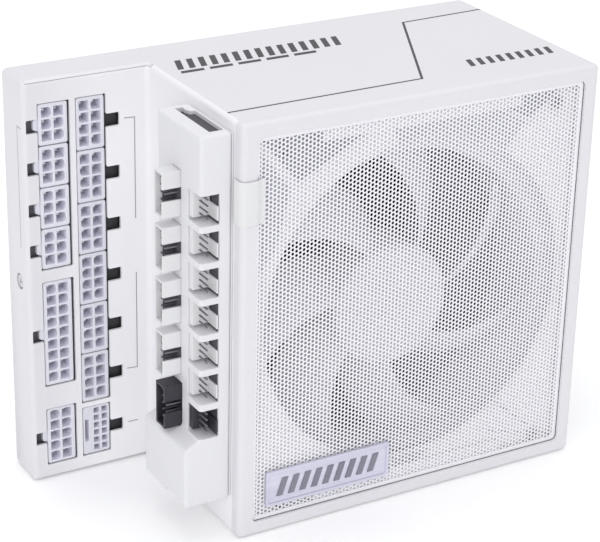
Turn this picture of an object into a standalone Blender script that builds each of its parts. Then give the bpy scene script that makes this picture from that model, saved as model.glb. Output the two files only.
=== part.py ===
"""Modular desktop computer power supply, 150 mm ATX width, with a clip-on fan and USB hub.

Datum used for the dimensions below, in millimetres: X = 0 is the step side of the deep fan
section, Y = 0 its fan face, Z = 0 its lower edge. The model is then moved so that the origin is
the centre of the bottom of its bounding box. +X is the mains end, -Y the fan side, +Z up.
"""
import bpy
import bmesh
import math
from mathutils import Vector, Matrix

for o in list(bpy.data.objects):
    bpy.data.objects.remove(o, do_unlink=True)

MM = 0.001
# ---- driving dimensions (mm) -------------------------------------------------------------------
H = 150.0          # casing width of the ATX format, standing upright here
D = 86.0           # casing height of the ATX format
WF = 138.5         # length of the deep fan section
EXT = 46.0         # length of the shallow connector section
STEP = 68.0        # connector face, measured back from the fan face
SHEET = 1.0        # steel thickness
BEND = 2.0         # outside bend radius
GAP = 0.3          # joint line between two pieces
BORDER = 5.3       # width of the steel border round the filter
XMAX = 141.48      # highest point of the mains rocker
YMIN = -0.68       # outside of the filter's pull tab
CX = (XMAX - EXT) / 2
CY = (D + YMIN) / 2
FAN = (66.1, 69.0)         # fan axis, x and z
FAN_Y0, FAN_Y1 = 10.0, 35.0
HUB_R, TIP_R = 22.5, 56.6
INTAKE = (69.25, 74.6, 59.0)  # round intake in the inner plate: x, z, radius
BLADES = 7

PARTS = bpy.data.collections.new("power_supply_unit")
TOOLS = bpy.data.collections.new("cutters")
bpy.context.scene.collection.children.link(PARTS)
bpy.context.scene.collection.children.link(TOOLS)


def P(x, y, z):
    return Vector(((x - CX) * MM, (y - CY) * MM, z * MM))


def material(name, rgb, rough, metal=0.0):
    m = bpy.data.materials.new(name)
    m.use_nodes = True
    b = m.node_tree.nodes["Principled BSDF"]
    b.inputs["Base Color"].default_value = (*rgb, 1)
    b.inputs["Roughness"].default_value = rough
    b.inputs["Metallic"].default_value = metal
    return m


WHITE = material("white_powder_coat", (0.83, 0.83, 0.87), 0.5)
PLASTIC = material("white_plastic", (0.86, 0.86, 0.88), 0.45)
NYLON = material("socket_nylon", (0.80, 0.79, 0.90), 0.45)
BLACK = material("black_plastic", (0.02, 0.02, 0.025), 0.5)
STEEL = material("steel", (0.6, 0.6, 0.62), 0.3, 1)
ALU = material("aluminium", (0.75, 0.75, 0.77), 0.4, 1)
BOARD = material("circuit_board", (0.02, 0.12, 0.05), 0.5)
COPPER = material("copper_winding", (0.75, 0.35, 0.15), 0.35, 1)
BADGE = material("badge_metal", (0.62, 0.60, 0.72), 0.3, 1)
RIBBON = material("white_ribbon", (0.88, 0.88, 0.88), 0.8)
MYLAR = material("insulation_film", (0.75, 0.75, 0.7), 0.4)
FERRITE = material("ferrite", (0.05, 0.05, 0.05), 0.6)
MAGNET = material("magnet", (0.35, 0.35, 0.36), 0.35, 1)
BRASS = material("brass", (0.72, 0.55, 0.25), 0.3, 1)


def make(name, bm, at, mat=None, cutter=False):
    bmesh.ops.recalc_face_normals(bm, faces=bm.faces[:])
    me = bpy.data.meshes.new(name)
    bm.to_mesh(me)
    bm.free()
    o = bpy.data.objects.new(name, me)
    o.location = at
    (TOOLS if cutter else PARTS).objects.link(o)
    if cutter:
        o.hide_render = True
        o.display_type = "WIRE"
    elif mat:
        me.materials.append(mat)
    return o


def cube_into(bm, size, at):
    r = bmesh.ops.create_cube(bm, size=1.0)
    bmesh.ops.scale(bm, vec=size, verts=r["verts"])
    bmesh.ops.translate(bm, vec=at, verts=r["verts"])
    return r["verts"]


def block(name, x, y, z, mat=None, bevel=0.0, segments=2, cutter=False):
    """A rectangular block between the datum limits x, y and z, each (low, high)."""
    c = P((x[0] + x[1]) / 2, (y[0] + y[1]) / 2, (z[0] + z[1]) / 2)
    bm = bmesh.new()
    cube_into(bm, ((x[1] - x[0]) * MM, (y[1] - y[0]) * MM, (z[1] - z[0]) * MM), (0, 0, 0))
    o = make(name, bm, c, mat, cutter)
    if bevel:
        m = o.modifiers.new("edges", "BEVEL")
        m.width = bevel * MM
        m.segments = segments
    return o


def blocks(name, limits, mat=None, cutter=True):
    """Several separate blocks in one mesh, used as one cutting tool."""
    bm = bmesh.new()
    for x, y, z in limits:
        c = P((x[0] + x[1]) / 2, (y[0] + y[1]) / 2, (z[0] + z[1]) / 2)
        cube_into(bm, ((x[1] - x[0]) * MM, (y[1] - y[0]) * MM, (z[1] - z[0]) * MM), c)
    return make(name, bm, (0, 0, 0), mat, cutter)


TURN = {"X": Matrix.Rotation(math.pi / 2, 4, "Y"), "Y": Matrix.Rotation(-math.pi / 2, 4, "X"),
        "Z": Matrix.Identity(4)}


def rod(name, axis, at, r, length, mat=None, seg=32, cutter=False, r2=None):
    """A cylinder or cone along an axis, centred on a datum point. r is at its low end."""
    bm = bmesh.new()
    bmesh.ops.create_cone(bm, cap_ends=True, segments=seg, radius1=r * MM,
                          radius2=(r if r2 is None else r2) * MM, depth=length * MM,
                          matrix=TURN[axis])
    return make(name, bm, P(*at), mat, cutter)


def rods(name, axis, places, r, length, seg=12, cutter=True):
    bm = bmesh.new()
    for at in places:
        bmesh.ops.create_cone(bm, cap_ends=True, segments=seg, radius1=r * MM, radius2=r * MM,
                              depth=length * MM, matrix=Matrix.Translation(P(*at)) @ TURN[axis])
    return make(name, bm, (0, 0, 0), None, cutter)


def prism(name, outline, axis, low, high, mat=None, cutter=False, bevel=0.0, segments=2):
    """A flat outline swept along an axis. axis Z: (x, y) points. Y: (x, z). X: (y, z)."""
    bm = bmesh.new()
    put = {"Z": lambda a, b, t: P(a, b, t), "Y": lambda a, b, t: P(a, t, b),
           "X": lambda a, b, t: P(t, a, b)}[axis]
    verts = [bm.verts.new(put(a, b, low)) for a, b in outline]
    face = bm.faces.new(verts)
    r = bmesh.ops.extrude_face_region(bm, geom=[face])
    move = put(0, 0, high) - put(0, 0, low)
    bmesh.ops.translate(bm, vec=move, verts=[v for v in r["geom"] if isinstance(v, bmesh.types.BMVert)])
    c = sum((v.co for v in bm.verts), Vector()) / len(bm.verts)
    bmesh.ops.translate(bm, vec=-c, verts=bm.verts)
    o = make(name, bm, c, mat, cutter)
    if bevel:
        m = o.modifiers.new("edges", "BEVEL")
        m.width = bevel * MM
        m.segments = segments
    return o


def boolean(obj, tool, op="DIFFERENCE"):
    m = obj.modifiers.new(op.lower(), "BOOLEAN")
    m.operation = op
    m.object = tool
    return obj


def joined(obj, *others):
    """The others become tools that are added to obj, so that they are one solid."""
    for t in others:
        for c in list(t.users_collection):
            c.objects.unlink(t)
        TOOLS.objects.link(t)
        t.hide_render = True
        t.display_type = "WIRE"
        boolean(obj, t, "UNION")
    return obj


def smooth(obj, deg=35):
    obj.data.shade_smooth()
    obj.data.set_sharp_from_angle(angle=math.radians(deg))
    return obj


# ================================ CASING ========================================================
plan = [(0, 0), (WF, 0), (WF, D), (-EXT, D), (-EXT, STEP), (0, STEP)]
s = SHEET
inner_plan = [(s, s), (WF - s, s), (WF - s, D - s), (-EXT + s, D - s), (-EXT + s, STEP + s), (s, STEP + s)]
outer = prism("casing_outer", plan, "Z", 0, H, cutter=True, bevel=BEND, segments=3)
inner = prism("casing_inner", inner_plan, "Z", s, H - s, cutter=True, bevel=BEND - s, segments=2)
shell = bpy.data.objects.new("casing_shell", outer.data.copy())
shell.location = outer.location
TOOLS.objects.link(shell)
m = shell.modifiers.new("edges", "BEVEL")
m.width = BEND * MM
m.segments = 3
boolean(shell, inner)
bpy.context.view_layer.update()
dg = bpy.context.evaluated_depsgraph_get()
shell_mesh = bpy.data.meshes.new_from_object(shell.evaluated_get(dg))
shell_at = shell.location.copy()
for t in (shell, outer, inner):
    bpy.data.objects.remove(t, do_unlink=True)


def sheet_piece(name, region, mat=WHITE, first=()):
    """The part of the folded 1 mm steel shell that lies inside a plan region."""
    o = bpy.data.objects.new(name, shell_mesh.copy())
    o.data.name = name
    o.location = shell_at
    o.data.materials.clear()
    o.data.materials.append(mat)
    PARTS.objects.link(o)
    for tool in first:
        boolean(o, tool)
    boolean(o, prism(name + "_region", region, "Z", -5, H + 5, cutter=True), "INTERSECT")
    return o


g = GAP
EDGE = 1.4          # how far the side sheets fold over the top and bottom
RETURN = 5.0        # depth of the cover's side return on the step side
END_RETURN = 2.2    # and on the mains end, clear of the mounting holes
# fan side cover: fan face, top and bottom
cover = sheet_piece("cover_shell", [
    (-1, -1), (WF + 1, -1), (WF + 1, END_RETURN), (WF - EDGE - g, END_RETURN), (WF - EDGE - g, D - 2.0),
    (-EXT + EDGE + g, D - 2.0), (-EXT + EDGE + g, 66.4), (EDGE + g, 66.4), (EDGE + g, RETURN),
    (-1, RETURN)], first=[
        blocks("cover_openings", [((5.35, 133.05), (-3, 3), (5.2, 144.8)),
                                  ((-1.1, 1.3), (66.1, 67.2), (H - 0.7, H + 4))]),
        block("cover_step_relief", (-EXT - 1, EDGE + g + 0.01), (60, 69.4), (0.85, H - 0.85), cutter=True)])


def window(name, x, z, centres, side):
    """A rectangular hole with one square latch notch for each socket."""
    if side == "R":
        pts = [(x[0], z[0]), (x[1], z[0])]
        for c in sorted(centres):
            pts += [(x[1], c - 2.4), (x[1] + 4.9, c - 2.4), (x[1] + 4.9, c + 2.4), (x[1], c + 2.4)]
        pts += [(x[1], z[1]), (x[0], z[1])]
    else:
        pts = [(x[0], z[0]), (x[1], z[0]), (x[1], z[1]), (x[0], z[1])]
        for c in sorted(centres, reverse=True):
            pts += [(x[0], c + 2.4), (x[0] - 4.0, c + 2.4), (x[0] - 4.0, c - 2.4), (x[0], c - 2.4)]
    return prism(name, pts, "Y", STEP - 3, STEP + 3, cutter=True)


def socket_rows(top, bottom, count, gap=0.4):
    h = (top - bottom - gap * (count + 1)) / count
    return [(top - gap * (i + 1) - h * (i + 1), top - gap * (i + 1) - h * i) for i in range(count)]


mid = lambda r: (r[0] + r[1]) / 2
rows8 = socket_rows(141.8, 26.9, 6)
rows6 = socket_rows(141.7, 81.3, 4)
# step side sheet: side of the fan section, connector face and end
panel = sheet_piece("socket_panel", [
    (-1, RETURN + g), (EDGE, RETURN + g), (EDGE, 69.2), (-EXT + EDGE, 69.2), (-EXT + EDGE, D - 2.0),
    (-EXT - 1, D - 2.0), (-EXT - 1, 66.5), (-1, 66.5)], first=[
        window("window_right", (-27.0, -15.95), (26.9, 141.8), [mid(r) for r in rows8], "R"),
        window("window_left", (-40.7, -29.35), (81.3, 141.7), [mid(r) for r in rows6], "L"),
        window("window_18", (-40.7, -29.35), (36.7, 77.0), [56.85], "L"),
        window("window_10", (-40.7, -29.35), (5.6, 28.0), [16.8], "L"),
        window("window_12", (-27.0, -15.95), (5.6, 25.3), [15.45], "R"),
        rod("end_screw_hole", "X", (-EXT + 0.5, 75.0, 76.0), 2.95, 4, seg=16, cutter=True),
        blocks("panel_trim", [((-EXT + EDGE, 5), (66.1, 71), (H - 1.15, H + 2)),
                              ((-EXT + EDGE, 5), (66.1, 71), (-2, 1.15))])])
# back and mains end sheet
INLET = (58.0, 122.0)      # centre y, z
SWITCH = (58.0, 92.0)
MOUNT_HOLES = [(80.0, 6.0), (80.0, 144.0), (16.0, 6.0), (6.0, 120.0)]   # ATX pattern, y and z
chassis = sheet_piece("chassis_shell", [
    (-EXT - 1, D - 2.0 + g), (WF - EDGE, D - 2.0 + g), (WF - EDGE, END_RETURN + g),
    (WF + 1, END_RETURN + g), (WF + 1, D + 1), (-EXT - 1, D + 1)], first=[
        rods("mounting_holes", "X", [(WF, y, z) for y, z in MOUNT_HOLES], 1.75, 6, seg=24), blocks("mains_openings", [
        ((WF - 4, WF + 4), (INLET[0] - 10.1, INLET[0] + 10.1), (INLET[1] - 13.9, INLET[1] + 13.9)),
        ((WF - 4, WF + 4), (SWITCH[0] - 6.9, SWITCH[0] + 6.9), (SWITCH[1] - 10.1, SWITCH[1] + 10.1)),
        ((WF - 4, WF + 4), (10.0, 76.0), (9.0, 74.0))])])

# ---- sockets: window outlines with latch notches, and the housings ------------------------------
RIGHT = (-26.6, -16.35)    # housing width, right-hand column
LEFT = (-40.3, -29.75)     # left-hand column
CELL = 3.5


SOCKETS = ([("socket_8pin_%d" % (i + 1), RIGHT, r, 4, "R", 4.2) for i, r in enumerate(rows8)]
           + [("socket_6pin_%d" % (i + 1), LEFT, r, 3, "L", 4.2) for i, r in enumerate(rows6)]
           + [("socket_18pin", LEFT, (37.1, 76.6), 9, "L", 4.2),
              ("socket_10pin", LEFT, (6.0, 27.6), 5, "L", 4.1),
              ("socket_12pin", RIGHT, (6.0, 24.9), 6, "R", 2.95)])
SOCK_Y0, SOCK_Y1 = 68.4, 81.0


for name, x, z, n, side, pitch in SOCKETS:
    body = block(name, x, (SOCK_Y0, SOCK_Y1), z, NYLON)
    cx, cz = mid(x), mid(z)
    if n == 6:
        cells = [((cx + dx - 1.15, cx + dx + 1.15), (SOCK_Y0 - 1, SOCK_Y0 + 7.5),
                  (cz + (k - 2.5) * pitch - 1.1, cz + (k - 2.5) * pitch + 1.1))
                 for dx in (0.2, 3.3) for k in range(6)]
    else:
        cells = [((cx + dx - CELL / 2, cx + dx + CELL / 2), (SOCK_Y0 - 1, SOCK_Y0 + 9.0),
                  (cz + (k - (n - 1) / 2) * pitch - CELL / 2, cz + (k - (n - 1) / 2) * pitch + CELL / 2))
                 for dx in (-2.25, 2.25) for k in range(n)]
    boolean(body, blocks(name + "_cells", cells))
    if side == "L":
        ramp = prism(name + "_latch", [(x[0] + 0.5, SOCK_Y0 + 0.9), (x[0] + 0.5, 76.0), (x[0] - 2.3, 76.0),
                                       (x[0] - 2.3, SOCK_Y0 + 4.2)], "Z", cz - 1.9, cz + 1.9, NYLON)
    else:
        ramp = prism(name + "_latch", [(x[1] - 0.5, SOCK_Y0 + 0.9), (x[1] + 2.3, SOCK_Y0 + 4.2), (x[1] + 2.3, 76.0),
                                       (x[1] - 0.5, 76.0)], "Z", cz - 1.9, cz + 1.9, NYLON)
    joined(body, ramp)

# ================================ FILTER ========================================================
MESH_Y = (1.35, 1.85)
filt = block("filter_mesh", (5.75, 132.65), MESH_Y, (5.6, 144.4), STEEL)
for m_name, z in (("filter_magnet_top", (139.0, 143.4)), ("filter_magnet_bottom", (6.6, 11.0))):
    block(m_name, (30, 108), (2.15, 2.65), z, MAGNET)
block("filter_badge", (10.6, 59.6), (0.05, 1.05), (9.7, 23.1), BADGE, bevel=0.3, segments=1)
TAB_Z = (115.6, 130.8)


def ribbon(points, t):
    """Outline of a strip of thickness t that follows a bent centre line."""
    left, right = [], []
    for i, p in enumerate(points):
        a = Vector(points[max(i - 1, 0)])
        b = Vector(points[min(i + 1, len(points) - 1)])
        n = (b - a).normalized().orthogonal() * (t / 2)
        left.append((p[0] + n.x, p[1] + n.y))
        right.append((p[0] - n.x, p[1] - n.y))
    return left + right[::-1]


bend = [(2 + 2.48 * math.cos(math.radians(t)), 2 + 2.48 * math.sin(math.radians(t))) for t in (270, 240, 210, 180)]
prism("filter_pull_tab", ribbon([(8.5, 0.83), (7.0, 0.83), (6.15, 0.35), (5.35, -0.48)] + bend + [(-0.48, 4.6)], 0.4),
      "Z", TAB_Z[0], TAB_Z[1], RIBBON)

# ================================ INTAKE AND FAN =================================================
plate = block("fan_mount_plate", (1.6, WF - 1.6), (2.95, 3.95), (1.6, H - 1.6), WHITE)
boolean(plate, rod("intake_hole", "Y", (INTAKE[0], 3.5, INTAKE[1]), INTAKE[2], 6, seg=64, cutter=True))
PLATE_SCREWS = [(16.6, 137.8), (122.9, 137.8), (123.2, 9.5), (16.6, 9.5)]
boolean(plate, rods("plate_screw_holes", "Y", [(x, 3.5, z) for x, z in PLATE_SCREWS], 1.8, 6, seg=16))
for i, (x, z) in enumerate(PLATE_SCREWS):
    head = rod("plate_screw_%d" % (i + 1), "Y", (x, 2.55, z), 2.2, 0.5, STEEL, seg=16, r2=2.7)
    shank = rod("plate_screw_shank_%d" % (i + 1), "Y", (x, 5.2, z), 1.4, 5.0, STEEL, seg=16)
    joined(head, shank)
duct = block("fan_duct", (6.4, 132.6), (4.3, 9.6), (12.6, 135.6), PLASTIC)
boolean(duct, rod("duct_hole", "Y", (67.7, 7.0, 72.1), 61.0, 12, seg=64, cutter=True))

fx, fz = FAN
frame = block("fan_frame", (fx - 60, fx + 60), (FAN_Y0, FAN_Y1), (fz - 60, fz + 60), PLASTIC, bevel=3.0, segments=2)
boolean(frame, rod("fan_bore", "Y", (fx, 22.5, fz), 58.4, 40, seg=64, cutter=True))
boolean(frame, rods("fan_frame_holes", "Y", [(fx + a * 52.5, 22.5, fz + b * 52.5) for a in (-1, 1) for b in (-1, 1)], 2.15, 40, seg=12))
mount = rod("motor_mount", "Y", (fx, 33.3, fz), 22.0, 2.6, PLASTIC, seg=40)
struts = []
for k in range(4):
    a = math.radians(20 + 90 * k)
    st = block("strut_%d" % k, (fx - 20.5, fx + 20.5), (32.2, 34.4), (fz - 2.0, fz + 2.0), PLASTIC)
    st.location = P(fx + 39.6 * math.cos(a), 33.3, fz + 39.6 * math.sin(a))
    st.rotation_euler = (0, -a, 0)
    struts.append(st)
joined(frame, mount, *struts)


def turned(name, profile, at, mat, seg=48):
    """A profile of (radius, y) points turned about the fan axis. It is closed on the axis."""
    bm = bmesh.new()
    rings = []
    for r, y in profile:
        if r == 0:
            rings.append([bm.verts.new((0, y * MM, 0))])
        else:
            rings.append([bm.verts.new((r * MM * math.cos(2 * math.pi * i / seg), y * MM,
                                        r * MM * math.sin(2 * math.pi * i / seg))) for i in range(seg)])
    for a, b in zip(rings, rings[1:]):
        for i in range(seg):
            j = (i + 1) % seg
            if len(a) == 1:
                bm.faces.new((a[0], b[i], b[j]))
            elif len(b) == 1:
                bm.faces.new((a[i], b[0], a[j]))
            else:
                bm.faces.new((a[i], b[i], b[j], a[j]))
    return make(name, bm, P(at[0], 0, at[1]), mat)


impeller = turned("fan_impeller", [(0, 12.0), (20.9, 12.0), (22.5, 13.4), (22.5, 30.6), (20.4, 30.6),
                                   (20.4, 14.2), (2.2, 14.2), (2.2, 15.4), (0, 15.4)], FAN, PLASTIC)


def blade(k):
    """A swept blade lofted through sections on cylinders round the axis."""
    base = math.radians(65.3 + 360.0 / BLADES * k)
    bm = bmesh.new()
    sections = []
    for r, sweep, chord, y0, y1 in ((21.8, 0, 33, 13.6, 29.0), (33, 9, 30, 13.2, 28.4),
                                    (45, 19, 28, 13.2, 27.2), (TIP_R, 31, 26, 13.8, 25.6)):
        ring = []
        for side in (0, 1):
            for i in range(6):
                t = i / 5 if side == 0 else 1 - i / 5
                camber = 1.9 * math.sin(math.pi * t)
                thick = 0.35 + 0.55 * math.sin(math.pi * min(max(t, 0.04), 0.96))
                a = base + math.radians(sweep - chord * t)
                y = y0 + (y1 - y0) * t - camber + (thick if side == 0 else -thick)
                ring.append(bm.verts.new((r * MM * math.cos(a), y * MM, r * MM * math.sin(a))))
        sections.append(ring)
    n = len(sections[0])
    for a, b in zip(sections, sections[1:]):
        for i in range(n):
            j = (i + 1) % n
            bm.faces.new((a[i], b[i], b[j], a[j]))
    bm.faces.new(sections[0])
    bm.faces.new(reversed(sections[-1]))
    return make("blade_%d" % k, bm, P(FAN[0], 0, FAN[1]), PLASTIC)


joined(impeller, *[blade(k) for k in range(BLADES)])
stator = turned("fan_stator", [(4.2, 17.0), (17.5, 17.0), (17.5, 28.6), (4.2, 28.6), (4.2, 17.0)], FAN, COPPER, seg=32)
# the ring above closes on itself: weld its first and last profile points
wm = stator.modifiers.new("weld", "WELD")
wm.merge_threshold = 0.00001
bearing = turned("fan_bearing", [(1.8, 16.2), (3.8, 16.2), (3.8, 31.6), (1.8, 31.6), (1.8, 16.2)], FAN, BRASS, seg=24)
wm = bearing.modifiers.new("weld", "WELD")
wm.merge_threshold = 0.00001
rod("fan_shaft", "Y", (fx, 23.35, fz), 1.5, 15.3, STEEL, seg=20)

# ================================ BOARDS AND COMPONENTS ==========================================
block("modular_board", (-43.5, -5.5), (81.3, 82.9), (4.0, 145.0), BOARD)
block("main_board", (3.0, 134.0), (78.4, 80.0), (4.0, 146.0), BOARD)
block("insulation_sheet", (-43.5, 135.5), (83.6, 84.0), (3.0, 147.0), MYLAR)
for i, z in enumerate((40.0, 76.0)):
    rod("bulk_capacitor_%d" % (i + 1), "Y", (100.0, 57.9, z), 15.0, 40.4, BLACK, seg=32)
block("main_transformer", (38.0, 72.0), (48.0, 78.1), (48.0, 86.0), FERRITE, bevel=1.0, segments=1)
block("primary_heatsink", (78.0, 82.0), (44.0, 78.1), (22.0, 128.0), ALU)
block("secondary_heatsink", (29.0, 33.0), (44.0, 78.1), (22.0, 128.0), ALU)
choke = turned("pfc_choke", [(6.0, 52.0), (15.0, 52.0), (15.0, 66.0), (6.0, 66.0), (6.0, 52.0)], (56.0, 116.0), COPPER, seg=32)
wm = choke.modifiers.new("weld", "WELD")
wm.merge_threshold = 0.00001
block("emi_choke", (98.0, 118.0), (56.0, 78.1), (98.0, 122.0), FERRITE, bevel=1.0, segments=1)
block("line_capacitor", (88.0, 95.5), (58.0, 78.1), (102.0, 130.0), material("film_capacitor", (0.75, 0.6, 0.1), 0.4), bevel=0.6, segments=1)
rod("output_capacitor", "Y", (16.0, 65.6, 70.0), 5.0, 25.0, BLACK, seg=24)
block("standby_transformer", (40.0, 58.0), (58.0, 78.1), (16.0, 34.0), FERRITE, bevel=0.8, segments=1)

# ================================ MAINS END ======================================================
inlet = block("ac_inlet", (WF + 0.3, WF + 2.0), (INLET[0] - 11.4, INLET[0] + 11.4), (INLET[1] - 15.4, INLET[1] + 15.4), BLACK, bevel=0.6, segments=1)
joined(inlet, block("inlet_body", (WF - 18.0, WF + 1.0), (INLET[0] - 9.8, INLET[0] + 9.8), (INLET[1] - 13.6, INLET[1] + 13.6), BLACK))
iy, iz = INLET
boolean(inlet, prism("inlet_cavity", [(iy - 8.0, iz - 12.2), (iy + 3.6, iz - 12.2), (iy + 8.0, iz - 8.0),
                                      (iy + 8.0, iz + 8.0), (iy + 3.6, iz + 12.2), (iy - 8.0, iz + 12.2)],
                     "X", WF - 14.5, WF + 4, cutter=True))
for n, (dy, dz) in enumerate(((3.0, 0.0), (-1.5, 7.0), (-1.5, -7.0))):
    boolean(inlet, block("blade_slot_%d" % n, (WF - 20, WF - 12), (iy + dy - 2.4, iy + dy + 2.4), (iz + dz - 1.4, iz + dz + 1.4), cutter=True))
pins = block("ac_inlet_pins", (WF - 20.2, WF - 18.3), (iy - 5.0, iy + 6.0), (iz - 9.0, iz + 9.0), BRASS)
joined(pins, *[block("inlet_blade_%d" % n, (WF - 19, WF - 2.0), (iy + dy - 2.0, iy + dy + 2.0), (iz + dz - 1.0, iz + dz + 1.0), BRASS)
               for n, (dy, dz) in enumerate(((3.0, 0.0), (-1.5, 7.0), (-1.5, -7.0)))])
sy, sz = SWITCH
bezel = block("switch_bezel", (WF + 0.3, WF + 1.7), (sy - 8.0, sy + 8.0), (sz - 11.2, sz + 11.2), BLACK, bevel=0.5, segments=1)
joined(bezel, block("switch_body", (WF - 14, WF + 1.0), (sy - 6.6, sy + 6.6), (sz - 9.8, sz + 9.8), BLACK))
boolean(bezel, block("rocker_well", (WF - 8.0, WF + 4.0), (sy - 5.4, sy + 5.4), (sz - 8.9, sz + 8.9), cutter=True))
ROCK_X, TILT = WF - 1.5, 8.0
rocker = prism("rocker_switch", [(sz - 8.0, ROCK_X + 3.4), (sz, ROCK_X + 2.1), (sz + 8.0, ROCK_X + 3.4),
                                 (sz + 7.6, ROCK_X - 3.0), (sz, ROCK_X - 3.8), (sz - 7.6, ROCK_X - 3.0)],
               "Y", sy - 5.0, sy + 5.0, BLACK)
rocker.data.transform(Matrix.Identity(4))
# the outline above is given as (z, x): turn it into the switch's own plane
rc = rocker.location.copy()
for v in rocker.data.vertices:
    w = v.co + rc
    z_mm, x_mm = w.x / MM + CX, w.z / MM
    v.co = Vector(((x_mm - ROCK_X) * MM, w.y - P(0, sy, 0).y, (z_mm - sz) * MM))
rocker.data.flip_normals()
rocker.location = P(ROCK_X, sy, sz)
rocker.rotation_euler = (0, math.radians(TILT), 0)
block("exhaust_grille", (WF - 0.8, WF - 0.1), (10.3, 75.7), (9.3, 73.7), STEEL)
end_screw = rod("end_screw", "X", (-EXT + 0.3, 75.0, 76.0), 2.6, 0.5, STEEL, seg=16)
joined(end_screw, rod("end_screw_shank", "X", (-EXT + 2.0, 75.0, 76.0), 1.4, 3.6, STEEL, seg=12))

# ================================ CLIP-ON HUB ====================================================
HX0, HX1 = -12.0, -0.7          # outer and inner faces
HY0, HY1 = 5.5, 36.3
HZ0, HZ1 = 13.8, 146.2
FOOT_X, FOOT_Z, RAMP_Z = -17.6, 35.7, 38.7
USB_Z = [122.5, 103.5, 84.5, 65.5]
POWER_Z = 46.3
FAN_Z = [120.9 - 12.76 * k for k in range(6)]
LEAD_Z = 44.2
hub = prism("hub_housing", [(HX1, HZ0), (HX1, HZ1), (HX0, HZ1), (HX0, RAMP_Z), (FOOT_X, FOOT_Z), (FOOT_X, HZ0)],
            "Y", HY0, HY1, PLASTIC, bevel=1.8, segments=2)
boolean(hub, block("hub_cavity", (HX0 + 1.6, HX1 + 1), (HY0 + 1.6, HY1 - 1.6), (HZ0 + 1.8, HZ1 - 1.8), cutter=True))
boolean(hub, blocks("hub_header_windows",
                    [((HX0 - 1, HX0 + 3), (19.1, 27.5), (z - 8.3, z + 8.3)) for z in USB_Z]
                    + [((-20, HX0 + 3), (18.5, 26.6), (POWER_Z - 8.3, POWER_Z + 8.3))]))
boolean(hub, blocks("hub_front_notches",
                    [((HX0 - 1, -5.1), (HY0 - 1, 14.4), (z - 5.25, z + 5.25)) for z in FAN_Z + [LEAD_Z]]))
boolean(hub, block("hub_top_slot", (-7.2, -2.2), (9.0, 33.4), (HZ1 - 3, HZ1 + 2), cutter=True))


def usb_header(x_back, y0, y1, z, mat, name):
    """A shrouded two-row header, open towards -X, keyed on its front wall."""
    o = block(name, (-18.7, x_back), (y0, y1), (z - 7.95, z + 7.95), mat)
    return o


strip = block("hub_usb_headers", (-10.3, -8.9), (19.7, 26.9), (USB_Z[-1] - 7.0, USB_Z[0] + 7.0), NYLON)
joined(strip, *[usb_header(-9.6, 19.5, 27.1, z, NYLON, "usb_%d" % i) for i, z in enumerate(USB_Z)])
boolean(strip, blocks("usb_cavities", [((-20, -11.6), (20.7, 25.9), (z - 6.75, z + 6.75)) for z in USB_Z]))
boolean(strip, blocks("usb_keys", [((-20, -12.4), (19, 20.9), (z - 2.1, z + 2.1)) for z in USB_Z]))
power = block("hub_power_header", (-18.7, -9.6), (18.8, 26.3), (POWER_Z - 7.95, POWER_Z + 7.95), BLACK)
boolean(power, block("power_cavity", (-20, -12.0), (20.0, 25.1), (POWER_Z - 6.7, POWER_Z + 6.7), cutter=True))


def fan_header(z, mat, name):
    """Back block and key wall of a 4-way fan header whose pins point forward."""
    base = block(name, (-11.6, -5.5), (11.9, 14.1), (z - 4.7, z + 4.7), mat)
    wall = block(name + "_wall", (-6.9, -5.5), (6.7, 12.3), (z - 4.0, z + 0.9), mat)
    return base, wall


bar = block("hub_fan_headers", (-9.9, -5.9), (13.9, 15.9), (FAN_Z[-1] - 4.0, FAN_Z[0] + 4.0), PLASTIC)
pieces = []
for i, z in enumerate(FAN_Z):
    pieces += fan_header(z, PLASTIC, "fan_header_%d" % i)
joined(bar, *pieces)
lead, lead_wall = fan_header(LEAD_Z, BLACK, "hub_pwm_header")
joined(lead, lead_wall)
block("hub_board", (-8.3, -6.8), (16.6, 33.4), (17.0, 142.6), BOARD)
block("hub_back_cover", (-1.9, -0.5), (7.5, 33.5), (16.0, 143.1), PLASTIC)
for n, z in (("hub_magnet_top", 128.0), ("hub_magnet_bottom", 26.0)):
    block(n, (-5.2, -2.3), (11.0, 29.0), (z - 6, z + 6), MAGNET)

for o in PARTS.objects:
    if o.name.startswith(("fan_impeller", "fan_shaft", "bulk", "fan_stator", "fan_bearing", "output_cap", "pfc_choke")):
        smooth(o)
bpy.context.view_layer.update()
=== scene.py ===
"""Visual model of a modular computer power supply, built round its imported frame.

Sizes below are in millimetres from a datum: x = 0 is the step side of the deep fan section, y = 0 the
fan face, z = 0 the base. P() turns them into the frame's metres.
"""
import bpy
import bmesh
import math
import numpy as np
from mathutils import Vector, Matrix
from mathutils.geometry import tessellate_polygon


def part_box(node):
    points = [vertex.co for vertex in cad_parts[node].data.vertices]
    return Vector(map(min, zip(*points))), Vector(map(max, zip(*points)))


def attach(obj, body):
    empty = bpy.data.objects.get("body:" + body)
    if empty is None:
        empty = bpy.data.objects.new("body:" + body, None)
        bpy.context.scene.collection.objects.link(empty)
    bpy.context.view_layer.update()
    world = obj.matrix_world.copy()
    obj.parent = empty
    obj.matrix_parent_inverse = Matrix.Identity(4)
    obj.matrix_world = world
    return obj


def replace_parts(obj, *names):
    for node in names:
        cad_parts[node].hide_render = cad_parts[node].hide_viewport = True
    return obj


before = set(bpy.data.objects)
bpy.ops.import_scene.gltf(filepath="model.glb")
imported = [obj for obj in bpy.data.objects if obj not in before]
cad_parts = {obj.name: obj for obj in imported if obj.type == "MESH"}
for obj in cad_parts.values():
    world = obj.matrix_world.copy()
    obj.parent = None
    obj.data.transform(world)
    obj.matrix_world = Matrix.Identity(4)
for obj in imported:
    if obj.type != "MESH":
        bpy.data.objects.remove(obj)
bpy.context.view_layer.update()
MM = 0.001
cover_lo, cover_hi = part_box("cover_shell")
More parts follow.
